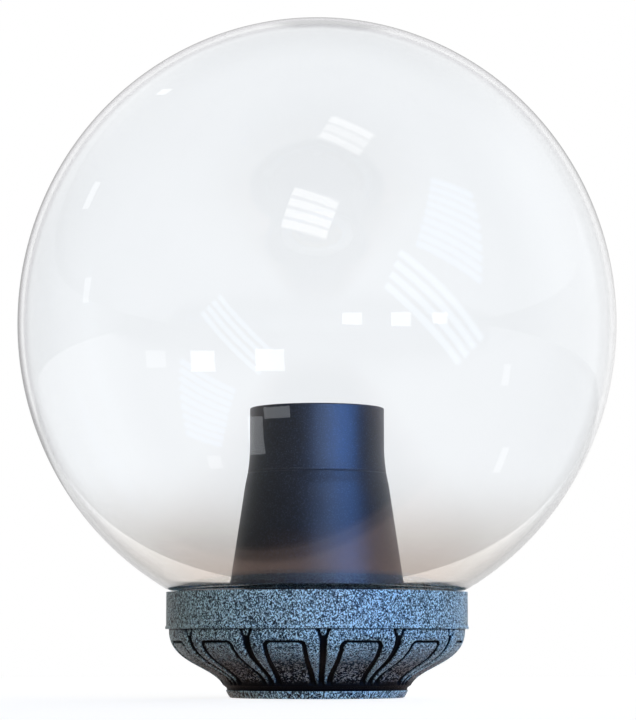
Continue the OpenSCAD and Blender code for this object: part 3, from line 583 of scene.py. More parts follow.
def cast_finish(name, tone, fleck, relief):
    """Antique cast metal: pale flecks rubbed over a near black ground; wear and painted highlight lighten
    edges.

    relief says whether the piece has grooves, which stay dark, and panels, which stay dull. The grooves'
    mask also carries painted shade on the lowest leaf rows, under the ring's lip and on the foot's top,
    and the panels carry painted shade that darkens them towards their foot.
    """
    ground, groove_black = (0.003, 0.005, 0.006, 1), (0.0035, 0.004, 0.005, 1)
    gloss, dull = 0.3, 0.03
    foot_low, foot_high = 4.0 * MM, 4.4 * MM
    panel_shade_low, panel_shade_high = 14.5 * MM, 17.5 * MM
    material, wiring, output, place = new_material(name)
    at = axes(wiring, place)
    brushed = between(wiring, at["Z"], foot_high, foot_low, 0.7, 0.1)
    where = wiring.add("ShaderNodeCombineXYZ", {
        "X": at["X"], "Y": at["Y"], "Z": wiring.times(at["Z"], brushed)}).outputs[0]
    # Edges, from the mesh's edge value, get lighter flecks: partly rubbed wear, partly painted highlight.
    flecks = placed_group(wiring, SPECKLE, {
        "Vector": where, "Flecks per Metre": 3000.0, "Ground": ground, "Tone": tone, "Fleck": fleck,
        "Rubbed and Highlit": between(wiring, kept_on_mesh(wiring, "edge"), 0.1, 0.8)})
    colour = flecks["Color"]
    if relief:
        groove, panel = kept_on_mesh(wiring, "groove"), kept_on_mesh(wiring, "panel")
        panel_flecks = placed_group(wiring, SPECKLE, {
            "Vector": where, "Flecks per Metre": 1800.0, "Ground": (0.001, 0.001, 0.001, 1),
            "Tone": (0.02, 0.018, 0.016, 1), "Fleck": (0.5, 0.48, 0.45, 1), "Rubbed and Highlit": -0.2})
        # Painted shade: panels take their darker, duller finish more fully towards their foot.
        panel = wiring.times(panel, between(wiring, at["Z"], panel_shade_high, panel_shade_low, 0.4, 1.0))
        gloss = between(wiring, wiring.larger(panel, groove), 0.1, 0.6, gloss, dull)
        colour = mixed(wiring, panel, colour, panel_flecks["Color"])
        # Near black in the grooves, and painted shade where the same mask covers the leaf feet, lip and foot.
        colour = mixed(wiring, between(wiring, groove, 0.05, 0.6), colour, groove_black)
    metal = wiring.add("ShaderNodeBsdfPrincipled", {
        "Base Color": colour, "Roughness": flecks["Roughness"], "Specular IOR Level": gloss,
        "Normal": bumped(wiring, flecks["Height"], 0.12 * MM, 0.6)})
    wiring.feed(output.inputs["Surface"], metal.outputs[0])
    return material


def clear_acrylic():
    """Clear moulded acrylic with painted shade: darker along its outline, mostly over its upper part
    and low on the left, darker down its neck and in a dark band over its shoulder. Lamps shine through it.
    """
    clear, outline_painted_shade = (0.972, 0.986, 1.0, 1), (0.36, 0.32, 0.4, 1)
    neck_painted_shade, shoulder_painted_shade = (0.68, 0.65, 0.62, 1), (0.16, 0.16, 0.17, 1)
    neck_low, neck_high = 42 * MM, 95 * MM
    material, wiring, output, where = new_material("clear_acrylic")
    place = axes(wiring, where)
    height = place["Z"]
    facing = wiring.add("ShaderNodeLayerWeight", {"Blend": 0.35}).outputs["Facing"]
    # Painted shade: the outline darkens by facing, most over the upper part and low on the left.
    slope = wiring.minus(height, wiring.times(place["X"], 0.6))
    upper = between(wiring, slope, GLOBE_Z - 10 * MM, GLOBE_Z + 40 * MM, 0.2, 0.8)
    lower = wiring.times(between(wiring, height, 90 * MM, 65 * MM),
                         between(wiring, place["X"], 0.0, -40 * MM))
    outline = wiring.times(between(wiring, facing, 0.68, 0.79), wiring.larger(upper, lower))
    tint_and_painted_shade = mixed(wiring, outline, clear, outline_painted_shade)
    # Painted shade: darker down the neck and in a band just over the shoulder.
    tint_and_painted_shade = mixed(wiring, between(wiring, height, neck_high, neck_low), tint_and_painted_shade, neck_painted_shade)
    tint_and_painted_shade = mixed(wiring, between(wiring, height, SHOULDER_Z + 2.5 * MM, SHOULDER_Z), tint_and_painted_shade, shoulder_painted_shade)
    pane = wiring.add("ShaderNodeBsdfPrincipled", {
        "Base Color": tint_and_painted_shade, "Roughness": 0.0, "IOR": 1.49, "Transmission Weight": 1.0})
    lamp_light = wiring.add("ShaderNodeBsdfTransparent", {"Color": (0.93, 0.94, 0.95, 1)})
    path = wiring.add("ShaderNodeLightPath")
    both = wiring.add("ShaderNodeMixShader")
    wiring.feed(both.inputs[0], path.outputs["Is Shadow Ray"])
    wiring.feed(both.inputs[1], pane.outputs[0])
    wiring.feed(both.inputs[2], lamp_light.outputs[0])
    wiring.feed(output.inputs["Surface"], both.outputs[0])
    return material


def moulded(name, colour, roughness, grain=2500.0, depth=0.02 * MM, bare=None):
    """Moulded plastic, rubber or stoneware: one colour with a slow drift, a fine grain and rubbed edges."""
    material, wiring, output, where = new_material(name)
    grains = placed_group(wiring, GRAIN, {
        "Vector": where, "Grains per Metre": grain, "Roughness": roughness, "Unevenness": 0.12})
    darker = tuple(0.8 * c for c in colour[:3]) + (1,)
    body = mixed(wiring, between(wiring, grains["Drift"], 0.3, 0.7), darker, colour)
    worn = placed_group(wiring, WEAR, {"Vector": where, "Color": body, "Bare": bare or colour, "Amount": 0.5})
    plastic = wiring.add("ShaderNodeBsdfPrincipled", {
        "Base Color": worn["Color"], "Roughness": grains["Roughness"],
        "Normal": bumped(wiring, grains["Height"], depth)})
    wiring.feed(output.inputs["Surface"], plastic.outputs[0])
    return material


def glazed(name, colour):
    """Glazed porcelain: a clear coat over a warm white body with faint specks."""
    material, wiring, output, where = new_material(name)
    specks = wiring.add("ShaderNodeTexVoronoi", {"Vector": where, "Scale": 380.0, "Randomness": 1.0})
    fleck = between(wiring, specks.outputs["Distance"], 0.05, 0.09)
    body = mixed(wiring, fleck, (0.5, 0.45, 0.36, 1), colour)
    grains = placed_group(wiring, GRAIN, {
        "Vector": where, "Grains per Metre": 300.0, "Roughness": 0.14, "Unevenness": 0.08})
    glaze = wiring.add("ShaderNodeBsdfPrincipled", {
        "Base Color": mixed(wiring, 0.85, body, colour), "Roughness": grains["Roughness"], "Coat Weight": 0.6,
        "Coat Roughness": 0.05, "Normal": bumped(wiring, grains["Height"], 0.05 * MM, 0.4)})
    wiring.feed(output.inputs["Surface"], glaze.outputs[0])
    return material


def bare_metal(name, colour, tarnish, roughness):
    """Plated or plain metal with fine scratches, a slow tarnish and brighter edges."""
    material, wiring, output, where = new_material(name)
    stretched = wiring.add("ShaderNodeMapping", {"Vector": where, "Scale": (1, 1, 6)}).outputs[0]
    grains = placed_group(wiring, GRAIN, {
        "Vector": stretched, "Grains per Metre": 1400.0, "Roughness": roughness, "Unevenness": 0.25})
    body = mixed(wiring, between(wiring, grains["Drift"], 0.4, 0.65), tarnish, colour)
    bright = tuple(min(1, 1.15 * c) for c in colour[:3]) + (1,)
    worn = placed_group(wiring, WEAR, {"Vector": where, "Color": body, "Bare": bright, "Amount": 0.7})
    metal = wiring.add("ShaderNodeBsdfPrincipled", {
        "Base Color": worn["Color"], "Metallic": 1.0, "Roughness": grains["Roughness"],
        "Normal": bumped(wiring, grains["Height"], 0.01 * MM)})
    wiring.feed(output.inputs["Surface"], metal.outputs[0])
    return material


def shroud_finish():
    """Satin dark moulding, a near black navy, with a painted brown reflection over its lower part."""
    navy, brown = (0.007, 0.008, 0.012, 1), (0.04, 0.026, 0.024, 1)
    brown_reflection_low, brown_reflection_high = 60 * MM, 74 * MM
    material, wiring, output, where = new_material("dark_shroud")
    grains = placed_group(wiring, GRAIN, {
        "Vector": where, "Grains per Metre": 1900.0, "Roughness": 0.42, "Unevenness": 0.16})
    place = axes(wiring, where)
    # Painted reflection: brown over the lower part, its wavy edge rising towards the right.
    sway = wiring.times(wiring.minus(grains["Drift"], 0.5), 14 * MM)
    level = wiring.plus(wiring.minus(place["Z"], wiring.times(place["X"], 0.25)), sway)
    colour = mixed(wiring, between(wiring, level, brown_reflection_high, brown_reflection_low), navy, brown)
    pale = wiring.times(between(wiring, grains["Height"], 0.5, 0.7), 0.3)
    colour = mixed(wiring, pale, colour, (0.09, 0.12, 0.19, 1))
    worn = placed_group(wiring, WEAR, {
        "Vector": where, "Color": colour, "Bare": (0.16, 0.17, 0.2, 1), "Amount": 0.12})
    satin = wiring.add("ShaderNodeBsdfPrincipled", {
        "Base Color": worn["Color"], "Roughness": grains["Roughness"], "Specular IOR Level": 0.5,
        "Normal": bumped(wiring, grains["Height"], 0.06 * MM)})
    wiring.feed(output.inputs["Surface"], satin.outputs[0])
    return material


CAST_TONE, CAST_FLECK = (0.1, 0.155, 0.165, 1), (0.64, 0.88, 0.93, 1)
FINISHES = {
    "clear_acrylic": clear_acrylic(),
    "antique_cast": cast_finish("antique_cast", CAST_TONE, CAST_FLECK, True),
    "antique_ring": cast_finish("antique_ring", CAST_TONE, CAST_FLECK, False),
    "dark_shroud": shroud_finish(),
    "black_tray": moulded("black_tray", (0.03, 0.03, 0.032, 1), 0.42, bare=(0.09, 0.09, 0.09, 1)),
    "seal_rubber": moulded("seal_rubber", (0.032, 0.032, 0.035, 1), 0.72, 1600.0, 0.03 * MM),
    "porcelain": glazed("porcelain", (0.84, 0.82, 0.76, 1)),
    "steatite": moulded("steatite", (0.76, 0.73, 0.66, 1), 0.68, 1300.0, 0.04 * MM),
    "brass": bare_metal("brass", (0.83, 0.62, 0.28, 1), (0.52, 0.36, 0.15, 1), 0.3),
    "zinc_steel": bare_metal("zinc_steel", (0.7, 0.71, 0.73, 1), (0.5, 0.51, 0.52, 1), 0.32),
    "white_plastic": moulded("white_plastic", (0.82, 0.82, 0.79, 1), 0.4),
    "brown_wire": moulded("brown_wire", (0.2, 0.075, 0.03, 1), 0.38),
    "blue_wire": moulded("blue_wire", (0.03, 0.13, 0.5, 1), 0.38),
    "earth_wire": moulded("earth_wire", (0.36, 0.5, 0.03, 1), 0.38),
}


def hand_over(piece, body, finish, *nodes):
    """Gives a finished piece its material and body, and lets it stand for CAD nodes."""
    piece.data.materials.clear()
    piece.data.materials.append(FINISHES[finish])
    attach(piece, body)
    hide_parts(*nodes)
    return piece


# Globe

def bisected(low_t, high_t, wanted):
    """Where a rising condition first holds, between two values."""
    for _ in range(30):
        middle = (low_t + high_t) / 2
        if wanted(middle):
            high_t = middle
        else:
            low_t = middle
    return (low_t + high_t) / 2


def globe_side(wall):
    """The globe's side from its neck's rim up to the pole, moved in by a wall."""
    shoulder_in = NECK_R + NECK_BEND + SHOULDER_FLAT

    def slope(t):
        return math.atan2(GLOBE_HALF_H * math.cos(t), GLOBE_R * abs(math.sin(t)))

    start = bisected(math.radians(-85), math.radians(-30),
                     lambda t: GLOBE_R * math.cos(t) - SHOULDER_BEND * math.sin(slope(t)) > shoulder_in)
    bend = slope(start)
    centre_z = SHOULDER_Z + SHOULDER_BEND * (1 - math.cos(bend)) - GLOBE_HALF_H * math.sin(start)
    neck_steps, bend_steps, round_steps = 24, 8, 110
    neck_top = SHOULDER_Z - NECK_BEND
    line = [(NECK_R - wall, RIM_Z + (neck_top - RIM_Z) * k / neck_steps) for k in range(neck_steps)]
    for a in np.linspace(0, math.pi / 2, bend_steps + 1):
        r = NECK_BEND + wall
        line.append((NECK_R + NECK_BEND - r * math.cos(a), neck_top + r * math.sin(a)))
    for a in np.linspace(0, bend, bend_steps, endpoint=False):
        r = SHOULDER_BEND - wall
        line.append((shoulder_in + r * math.sin(a), SHOULDER_Z + SHOULDER_BEND - r * math.cos(a)))
    for t in np.linspace(start, math.pi / 2, round_steps + 1):
        n = np.array([math.cos(t) / GLOBE_R, math.sin(t) / GLOBE_HALF_H])
        n /= np.linalg.norm(n)
        side_r = max(GLOBE_R * math.cos(t) - wall * n[0], 0)
        line.append((side_r, centre_z + GLOBE_HALF_H * math.sin(t) - wall * n[1]))
    line[-1] = (0, line[-1][1])
    return line


def ridge_height(angles, z, arc, lag, low_z):
    """How much of a thread's height stands at each angle, at one height of the wall."""
    fade = 5.0
    total = np.zeros(len(angles))
    for start in range(THREAD_STARTS):
        along = (np.degrees(angles) - lag - 360 * start / THREAD_STARTS) % 360
        off = abs(z - low_z - THREAD_LEAD * along / 360)
        flank = np.clip((THREAD_ROOT_W / 2 - off) / ((THREAD_ROOT_W - THREAD_CREST_W) / 2), 0, 1)
        ends = np.clip(np.minimum(along, arc - along) / fade, 0, 1)
        total = np.maximum(total, flank * ends)
    return total


def globe_shell():
    outside, inside = globe_side(0), globe_side(GLOBE_WALL)
    thread_top = NECK_THREAD_Z + THREAD_LEAD * NECK_ARC / 360 + THREAD_ROOT_W / 2

    def threads(angles, z, r):
        if r < NECK_R - 0.1 * MM or r > NECK_R + 0.1 * MM or z > thread_top + MM:
            return 0
        return THREAD_DEPTH * ridge_height(angles, z, NECK_ARC, 0, NECK_THREAD_Z)

    piece = lathe("globe_shell", outside + inside[::-1], 240, threads, angle=60)
    return hand_over(piece, "globe", "clear_acrylic", "globe")


def neck_seal():
    """Flat gasket on the ring's seat, under the rim of the globe's neck."""
    middle_r, half_w = NECK_R - GLOBE_WALL / 2, 1.5 * MM
    r0, r1 = middle_r - half_w, middle_r + half_w
    z0, z1 = SEAT_Z, high("neck_gasket")
    line = eased([(r0, z0, 0.3 * MM), (r1, z0, 0.3 * MM), (r1, z1, 0.5 * MM), (r0, z1, 0.5 * MM)])
    return hand_over(lathe("neck_seal", line), "neck_gasket", "seal_rubber", "neck_gasket")


# Collar ring

def sunk_hole(turn):
    """Cutter for one countersunk hole in the ring's seat."""
    hole_r, head_r = 2 * MM, HEAD_R + 0.2 * MM
    past = 3 * MM
    line = [(0, BASE_TOP - past), (hole_r, BASE_TOP - past), (hole_r, SEAT_Z - head_r + hole_r),
            (head_r, SEAT_Z), (head_r, SEAT_Z + MM), (0, SEAT_Z + MM)]
    return placed(lathe("sunk_hole", line, 32), around_z(turn, RING_SCREW_R))


def collar_band():
    edge = 0.45 * MM
    lip_h = 1 * MM
    lip_r = RING_R + LIP_OUT
    seat_bore = RING_SCREW_R - HEAD_R - 0.7 * MM
    spigot_out = BASE_R - BASE_WALL - 0.2 * MM
    spigot_in = spigot_out - 2.4 * MM
    spigot_z = low("collar_ring")
    bore = spread([(RING_BORE_R, RING_TOP - edge), (RING_BORE_R, SEAT_Z + 0.4 * MM)], 0.35 * MM)
    bore = bore[:len(bore) // 2 + 1]
    line = eased([(RING_R, BASE_TOP + lip_h + LIP_OUT, 0.2 * MM), (RING_R, RING_TOP, edge)])
    line += eased([(RING_R, RING_TOP - MM), (RING_BORE_R, RING_TOP, edge),
                   (RING_BORE_R, RING_TOP - MM)])[1:-1]
    line += bore
    line += [(RING_BORE_R, SEAT_Z)]
    line += eased([(RING_BORE_R, SEAT_Z), (seat_bore, SEAT_Z, 0.3 * MM), (seat_bore, BASE_TOP, 0.3 * MM),
                   (spigot_in, BASE_TOP), (spigot_in, spigot_z, 0.3 * MM), (spigot_out, spigot_z, 0.3 * MM),
                   (spigot_out, BASE_TOP)])[1:]
    line += eased([(spigot_out, BASE_TOP), (lip_r, BASE_TOP, 0.3 * MM), (lip_r, BASE_TOP + lip_h, 0.25 * MM),
                   (RING_R, BASE_TOP + lip_h + LIP_OUT)])[1:-1]

    def threads(angles, z, r):
        if abs(r - RING_BORE_R) > 0.05 * MM or z < SEAT_Z + MM:
            return 0
        height = RING_BORE_R - NECK_R - THREAD_GAP
        return -height * ridge_height(angles, z, RING_ARC, THREAD_LAG, RING_THREAD_Z)

    ring = lathe("collar_band", line, 240, threads)
    combined(ring, [sunk_hole(RING_SCREW_TURN + third) for third in THIRDS], "DIFFERENCE")
    return hand_over(ring, "base", "antique_ring", "collar_ring")


# Cast base

def bezier(points, t):
    a, b, c, d = (np.array(p) for p in points)
    return (1 - t) ** 3 * a + 3 * t * (1 - t) ** 2 * b + 3 * t * t * (1 - t) * c + t ** 3 * d


def bezier_slope(points, t):
    a, b, c, d = (np.array(p) for p in points)
    slope = (1 - t) ** 2 * (b - a) + 2 * t * (1 - t) * (c - b) + t * t * (d - c)
    return slope / np.linalg.norm(slope)


LEAF_CURVE = [(FOOT_TOP_R + 0.3 * MM, LEAF_FOOT_Z), (FOOT_TOP_R + 4.4 * MM, LEAF_FOOT_Z + 8 * MM),
              (BASE_R + 0.6 * MM, BASE_TOP - 14.2 * MM), (BASE_R, BASE_TOP)]


def off_segment(x, z, a, b):
    """Distance from points to a line segment."""
    a, b = np.array(a), np.array(b)
    along = b - a
    t = np.clip(((x - a[0]) * along[0] + (z - a[1]) * along[1]) / (along @ along), 0, 1)
    return np.hypot(x - a[0] - t * along[0], z - a[1] - t * along[1])


def off_panel(x, z):
    """Signed distance to the arch that outlines a leaf's inner panel, below 0 inside it."""
    widens = PANEL_HALF_TOP - PANEL_HALF_FOOT
    half = PANEL_HALF_FOOT + widens * (z - LEAF_FOOT_Z) / (PANEL_TOP - LEAF_FOOT_Z)
    qx = abs(x) - half + PANEL_CORNER
    qz = np.full_like(qx, z - PANEL_TOP + PANEL_CORNER)
    return np.hypot(np.maximum(qx, 0), np.maximum(qz, 0)) + np.minimum(np.maximum(qx, qz), 0) - PANEL_CORNER


def off_gap(x, z):
    """Distance to the forked line between two leaves, as a share of its half width."""
    x = abs(x)
    rise = smooth((z - LEAF_FOOT_Z) / (FORK_Z - LEAF_FOOT_Z))
    stem_half = STEM_HALF_FOOT + (STEM_HALF_TOP - STEM_HALF_FOOT) * rise
    stem = off_segment(x, z, (0, LEAF_FOOT_Z - MM), (0, FORK_Z)) / stem_half
    arm = off_segment(x, z, (STEM_HALF_TOP - ARM_HALF, FORK_Z), (FORK_SPREAD, BASE_TOP + 0.5 * MM)) / ARM_HALF
    return np.minimum(stem, arm)


def rim_half(x, z):
    """Half width of the channel round a panel: broad at the foot and narrow over its top."""
    over_top = smooth((z - PANEL_TOP + PANEL_CORNER) / PANEL_CORNER)
    over_top = over_top * smooth((PANEL_HALF_TOP - abs(x)) / PANEL_CORNER)
    rise = smooth((z - LEAF_FOOT_Z) / (PANEL_TOP - LEAF_FOOT_Z))
    side = CHANNEL_HALF_FOOT + (CHANNEL_HALF_TOP - CHANNEL_HALF_FOOT) * rise
    return side + (ARCH_HALF - side) * over_top


def smooth(t):
    t = np.clip(t, 0, 1)
    return t * t * (3 - 2 * t)


def leaf_slice():
    """One leaf's share of the casting, a twelfth of the whole round, about the X axis."""
    columns, rows = 64, 78
    half = math.pi / LEAF_COUNT
    angles = np.linspace(-half, half, columns + 1)
    grommet_r, grommet_z = 10.8 * MM, 1.6 * MM
    seal_r0, seal_r1, seal_z = 28.1 * MM, 31.6 * MM, 1.8 * MM
    hole_r = 8 * MM
    cove_z, cove_r = FOOT_H - 1.2 * MM, FOOT_TOP_R - 0.9 * MM
    foot = eased([(hole_r, grommet_z), (grommet_r, grommet_z), (grommet_r, 0, 0.3 * MM),
                  (seal_r0, 0, 0.3 * MM), (seal_r0, seal_z), (seal_r1, seal_z), (seal_r1, 0, 0.3 * MM),
                  (FOOT_R, 0, 0.5 * MM), (FOOT_R + 0.9 * MM, cove_z / 2), (cove_r, cove_z, 0.3 * MM),
                  (cove_r - 0.5 * MM, cove_z + 0.4 * MM), (cove_r - 0.2 * MM, FOOT_H),
                  (FOOT_TOP_R, LEAF_FOOT_Z - 0.2 * MM)], 3)
    inner = [bezier(LEAF_CURVE, t) - BASE_WALL * np.array([s[1], -s[0]])
             for t in np.linspace(1, 0, 13) for s in [bezier_slope(LEAF_CURVE, t)]]
    inside = [(BASE_R - BASE_WALL, BASE_TOP)] + [tuple(p) for p in inner if p[1] < BASE_TOP - 0.2 * MM]
    inside += [(FOOT_R - BASE_WALL, FLOOR_T), (hole_r, FLOOR_T)]
    vertices, edge, groove, panel = [], [], [], []

    def add_row(radii, heights, sharp, dark_and_shade, panel_and_shade):
        vertices.extend(zip(radii * np.cos(angles), radii * np.sin(angles), heights))
        edge.extend(np.broadcast_to(sharp, angles.shape))
        groove.extend(np.broadcast_to(dark_and_shade, angles.shape))
        panel.extend(np.broadcast_to(panel_and_shade, angles.shape))

    flat = np.ones_like(angles)
    closed = foot + [tuple(bezier(LEAF_CURVE, t)) for t in np.linspace(0, 1, rows + 1)] + inside
    sharpness = dict(zip(closed, convexity(closed)))
    # Painted shadow: the foot's rows above its cove take 0.9 of the dark groove mask.
    for r, z in foot:
        add_row(r * flat, z * flat, sharpness[(r, z)], 0.9 if z > cove_z + 0.1 * MM else 0, 0)
    for t in np.linspace(0, 1, rows + 1):
        (r, z), (sr, sz) = bezier(LEAF_CURVE, t), bezier_slope(LEAF_CURVE, t)
        near = angles - np.sign(angles + 1e-9) * half
        gap = off_gap(r * np.sin(near), z)
        rim = off_panel(r * np.sin(angles), z)
        line = np.minimum(gap, abs(rim) / rim_half(r * np.sin(angles), z))
        foot_fade = smooth((z - LEAF_FOOT_Z) / (0.9 * MM))
        channel = 1 - smooth((line - 0.7) / 0.55)
        sunk = smooth(-rim / CHANNEL_HALF_FOOT - 0.3)
        # crown marks the ridges between channels, which get lighter flecks: partly wear, partly painted
        # highlight.
        crown = 1 - smooth(abs(line - 1.5) / 0.8)
        depth = (GROOVE_DEPTH * channel + 0.3 * MM * sunk) * foot_fade
        rise = (z - LEAF_FOOT_Z) / (PANEL_TOP - LEAF_FOOT_Z)
        # Painted shade: the dark groove mask also covers the lowest leaf rows and a band under the ring's
        # lip.
        leaf_foot_painted_shade = 0.6 * (1 - smooth((z - LEAF_FOOT_Z) / (4.5 * MM)))
        under_lip_painted_shade = 0.5 * smooth((z - BASE_TOP + MM) / (0.8 * MM))
        dark_and_shade = np.maximum(channel, max(leaf_foot_painted_shade, under_lip_painted_shade))
        # Painted shade: the panel mask falls to 0.4 towards each panel's top, so panels darken towards their
        # foot.
        add_row(r - depth * sz, z + depth * sr, 0.55 * crown, dark_and_shade,
                sunk * (1 - 0.6 * smooth(rise * 1.4 - 0.4)))
    for r, z in inside:
        add_row(r * flat, z * flat, 0, 0, 0)
    count = columns + 1
    total = len(vertices) // count
    faces = [(i * count + j, i * count + j + 1, (i + 1) % total * count + j + 1, (i + 1) % total * count + j)
             for i in range(total) for j in range(columns)]
    return mesh_object("leaf_slice", vertices, faces, edge=edge, groove=groove, panel=panel)


def bowl_core(depth):
    """The solid under the skin of the bowl, which holds its pillars in."""
    line = [(0, FLOOR_T / 2), (FOOT_R - depth, FLOOR_T / 2)]
    for t in np.linspace(0, 1, 13):
        slope = bezier_slope(LEAF_CURVE, t)
        line.append(tuple(bezier(LEAF_CURVE, t) - depth * np.array([slope[1], -slope[0]])))
    line[-1] = (BASE_R - depth, BASE_TOP - 0.02 * MM)
    return lathe("bowl_core", line + [(0, BASE_TOP - 0.02 * MM)], 96)


def floor_point(turn, out, across=0.0):
    """A place on the floor of the base: out along a turn, then across it."""
    return Matrix.Rotation(math.radians(turn), 4, "Z") @ Vector((out, across, 0))


# Places on the floor of the base, inside it
CLAMP_TURN, EARTH_TURN, CLAMP_OUT = 210, 330, 18.6 * MM
CLAMP_SCREW_OUT = 8.2 * MM
BOSS_TOP = 6.5 * MM
BLOCK_OUT = 20 * MM
WAY_PITCH = 8 * MM


def boss_places():
    return [floor_point(CLAMP_TURN, CLAMP_OUT, side * CLAMP_SCREW_OUT) for side in (-1, 1)] + [
        floor_point(EARTH_TURN, CLAMP_OUT)]


def fluted_bowl():
    """The whole casting: twelve leaf slices, with the bosses and pillars for its screws."""
    pitch = 360 / LEAF_COUNT
    bowl = grown("fluted_bowl", RING_TREE, {
        "Count": LEAF_COUNT, "Turn": math.radians(LEAF_TURN - 90 + pitch / 2),
        "Material": FINISHES["antique_cast"]}, leaf_slice(), 60)
    hole_r, bolt_r, block_hole_r = 1.7 * MM, 2.75 * MM, 1.2 * MM
    pillar_r, boss_r = 4.1 * MM, 3.5 * MM
    pillar_h, hole_h, blind_z = 14 * MM, 11 * MM, 1.6 * MM
    sunk, past = 1.5 * MM, MM
    posts = [placed(rod("post", pillar_r, BASE_TOP - pillar_h, BASE_TOP + past),
                    around_z(RING_SCREW_TURN + third, RING_SCREW_R)) for third in THIRDS]
    posts += [placed(rod("post", pillar_r, 0, BASE_TOP + past),
                     around_z(SHROUD_SCREW_TURN + third, SHROUD_SCREW_R)) for third in THIRDS]
    posts = [combined(post, [bowl_core(BASE_WALL / 2)], "INTERSECT") for post in posts]
    posts += [placed(rod("post", boss_r, FLOOR_T - sunk, BOSS_TOP, 0.3 * MM), Matrix.Translation(place))
              for place in boss_places()]
    for post in posts:
        combined(bowl, [post], "UNION", 60)
    holes = [placed(rod("hole", hole_r, BASE_TOP - hole_h, BASE_TOP + past), around_z(turn + third, r))
             for third in THIRDS
             for turn, r in ((RING_SCREW_TURN, RING_SCREW_R), (SHROUD_SCREW_TURN, SHROUD_SCREW_R))]
    holes += [placed(rod("hole", bolt_r, -past, FLOOR_T + past, turns=48),
                     around_z(BOLT_TURN + third, BOLT_CIRCLE_R)) for third in THIRDS]
    holes += [placed(rod("hole", hole_r, blind_z, BOSS_TOP + past), Matrix.Translation(place))
              for place in boss_places()]
    holes += [placed(rod("hole", block_hole_r, blind_z, FLOOR_T + past),
                     Matrix.Translation((side * WAY_PITCH / 2, BLOCK_OUT, 0))) for side in (-1, 1)]
    combined(bowl, holes, "DIFFERENCE", 60)
    return hand_over(bowl, "base", "antique_cast", "fluted_base")


RING_TREE = ring_tree()
COIL_TREE = coil_tree()


# Screws

def thread_grow(r0, pitch, depth, low_z, high_z):
    """A screw thread cut into a rod between two heights."""
    def grow(angles, z, r):
        if abs(r - r0) > 0.05 * MM or z < low_z or z > high_z:
            return 0
        wave = (z / pitch - angles / (2 * math.pi)) % 1
        return -depth * np.abs(2 * wave - 1)
    return grow


def screw(name, length, head_h):
    """A slotted screw whose head sits on z = 0: a rounded pan, or countersunk where it has no height."""
    pitch, thread_depth, end_chamfer, slot_depth = 0.7 * MM, 0.22 * MM, 0.35 * MM, MM
    neck = 0.0 if head_h else SCREW_R - HEAD_R
    shank = spread([(SCREW_R, -length + 0.5 * MM), (SCREW_R, neck)], pitch / 5)
    shank = shank[:len(shank) // 2 + 1]
    line = [(0, -length), (SCREW_R - end_chamfer, -length)] + shank
    if head_h:
        line += eased([(SCREW_R, 0), (HEAD_R, 0, 0.15 * MM), (HEAD_R, head_h, 0.7 * MM), (0, head_h)])[1:]
    else:
        line += eased([(SCREW_R, neck), (HEAD_R, 0, 0.15 * MM), (0, 0)], 3)[1:]
    thread = thread_grow(SCREW_R, pitch, thread_depth, -length + 0.4 * MM, neck - 0.3 * MM)
    slot = block("slot", (2 * HEAD_R, SLOT_W, 2 * slot_depth), (0, 0, head_h))
    return combined(lathe(name, line, 36, thread), [slot], "DIFFERENCE", 30)


def screw_ring(name, node, length, head_h, radius, turn):
    """Three screws in a ring, with the tops of their heads where the CAD node has them."""
    ring = grown(f"{name}_set", RING_TREE, {
        "Count": 3, "Radius": radius, "Turn": math.radians(turn), "Material": FINISHES["zinc_steel"]},
        screw(name, length, head_h), 30)
    placed(ring, Matrix.Translation((0, 0, high(node) - head_h)))
    return hand_over(ring, "base", "zinc_steel", node)


def ring_screws():
    return screw_ring("ring_screw", "ring_screws", 10 * MM, 0.0, RING_SCREW_R, RING_SCREW_TURN)


def shroud_screws():
    return screw_ring("shroud_screw", "shroud_screws", 13 * MM, 2 * MM, SHROUD_SCREW_R, SHROUD_SCREW_TURN)


# Seals, tray and shroud

def foot_seal():
    r0, r1 = 28.2 * MM, 31.5 * MM
    z0, z1 = low("foot_gasket"), high("foot_gasket")
    line = eased([(r0, z0, 0.5 * MM), (r1, z0, 0.5 * MM), (r1, z1, 0.2 * MM), (r0, z1, 0.2 * MM)])
    return hand_over(lathe("foot_seal", line), "base", "seal_rubber", "foot_gasket")


def cord_grommet():
    bore_r, waist_r, flange_r = 4.5 * MM, 7.9 * MM, 10.4 * MM
    z0, z1 = low("cable_grommet"), high("cable_grommet")
    flange_t, cuff = 1.4 * MM, 1.6 * MM
    line = eased([(bore_r, z0, 0.5 * MM), (flange_r, z0, 0.5 * MM), (flange_r, z0 + flange_t, 0.3 * MM),
                  (waist_r, z0 + flange_t), (waist_r, FLOOR_T), (flange_r, FLOOR_T, 0.3 * MM),
                  (flange_r, z1 - cuff, 0.5 * MM), (bore_r + cuff, z1, 0.4 * MM), (bore_r, z1, 0.4 * MM)])
    return hand_over(lathe("cord_grommet", line, 96), "base", "seal_rubber", "cable_grommet")


def tray_disc():
    hole_r, edge = 12 * MM, 0.5 * MM
    collar_r = hole_r + 2 * MM
    collar_z = low("wiring_tray")
    line = eased([(hole_r, collar_z, 0.4 * MM), (collar_r, collar_z, edge), (collar_r, BASE_TOP, 0.3 * MM),
                  (FLANGE_R, BASE_TOP, edge), (FLANGE_R, TRAY_TOP, edge), (hole_r, TRAY_TOP, edge)])
    return hand_over(lathe("tray_disc", line), "base", "black_tray", "wiring_tray")


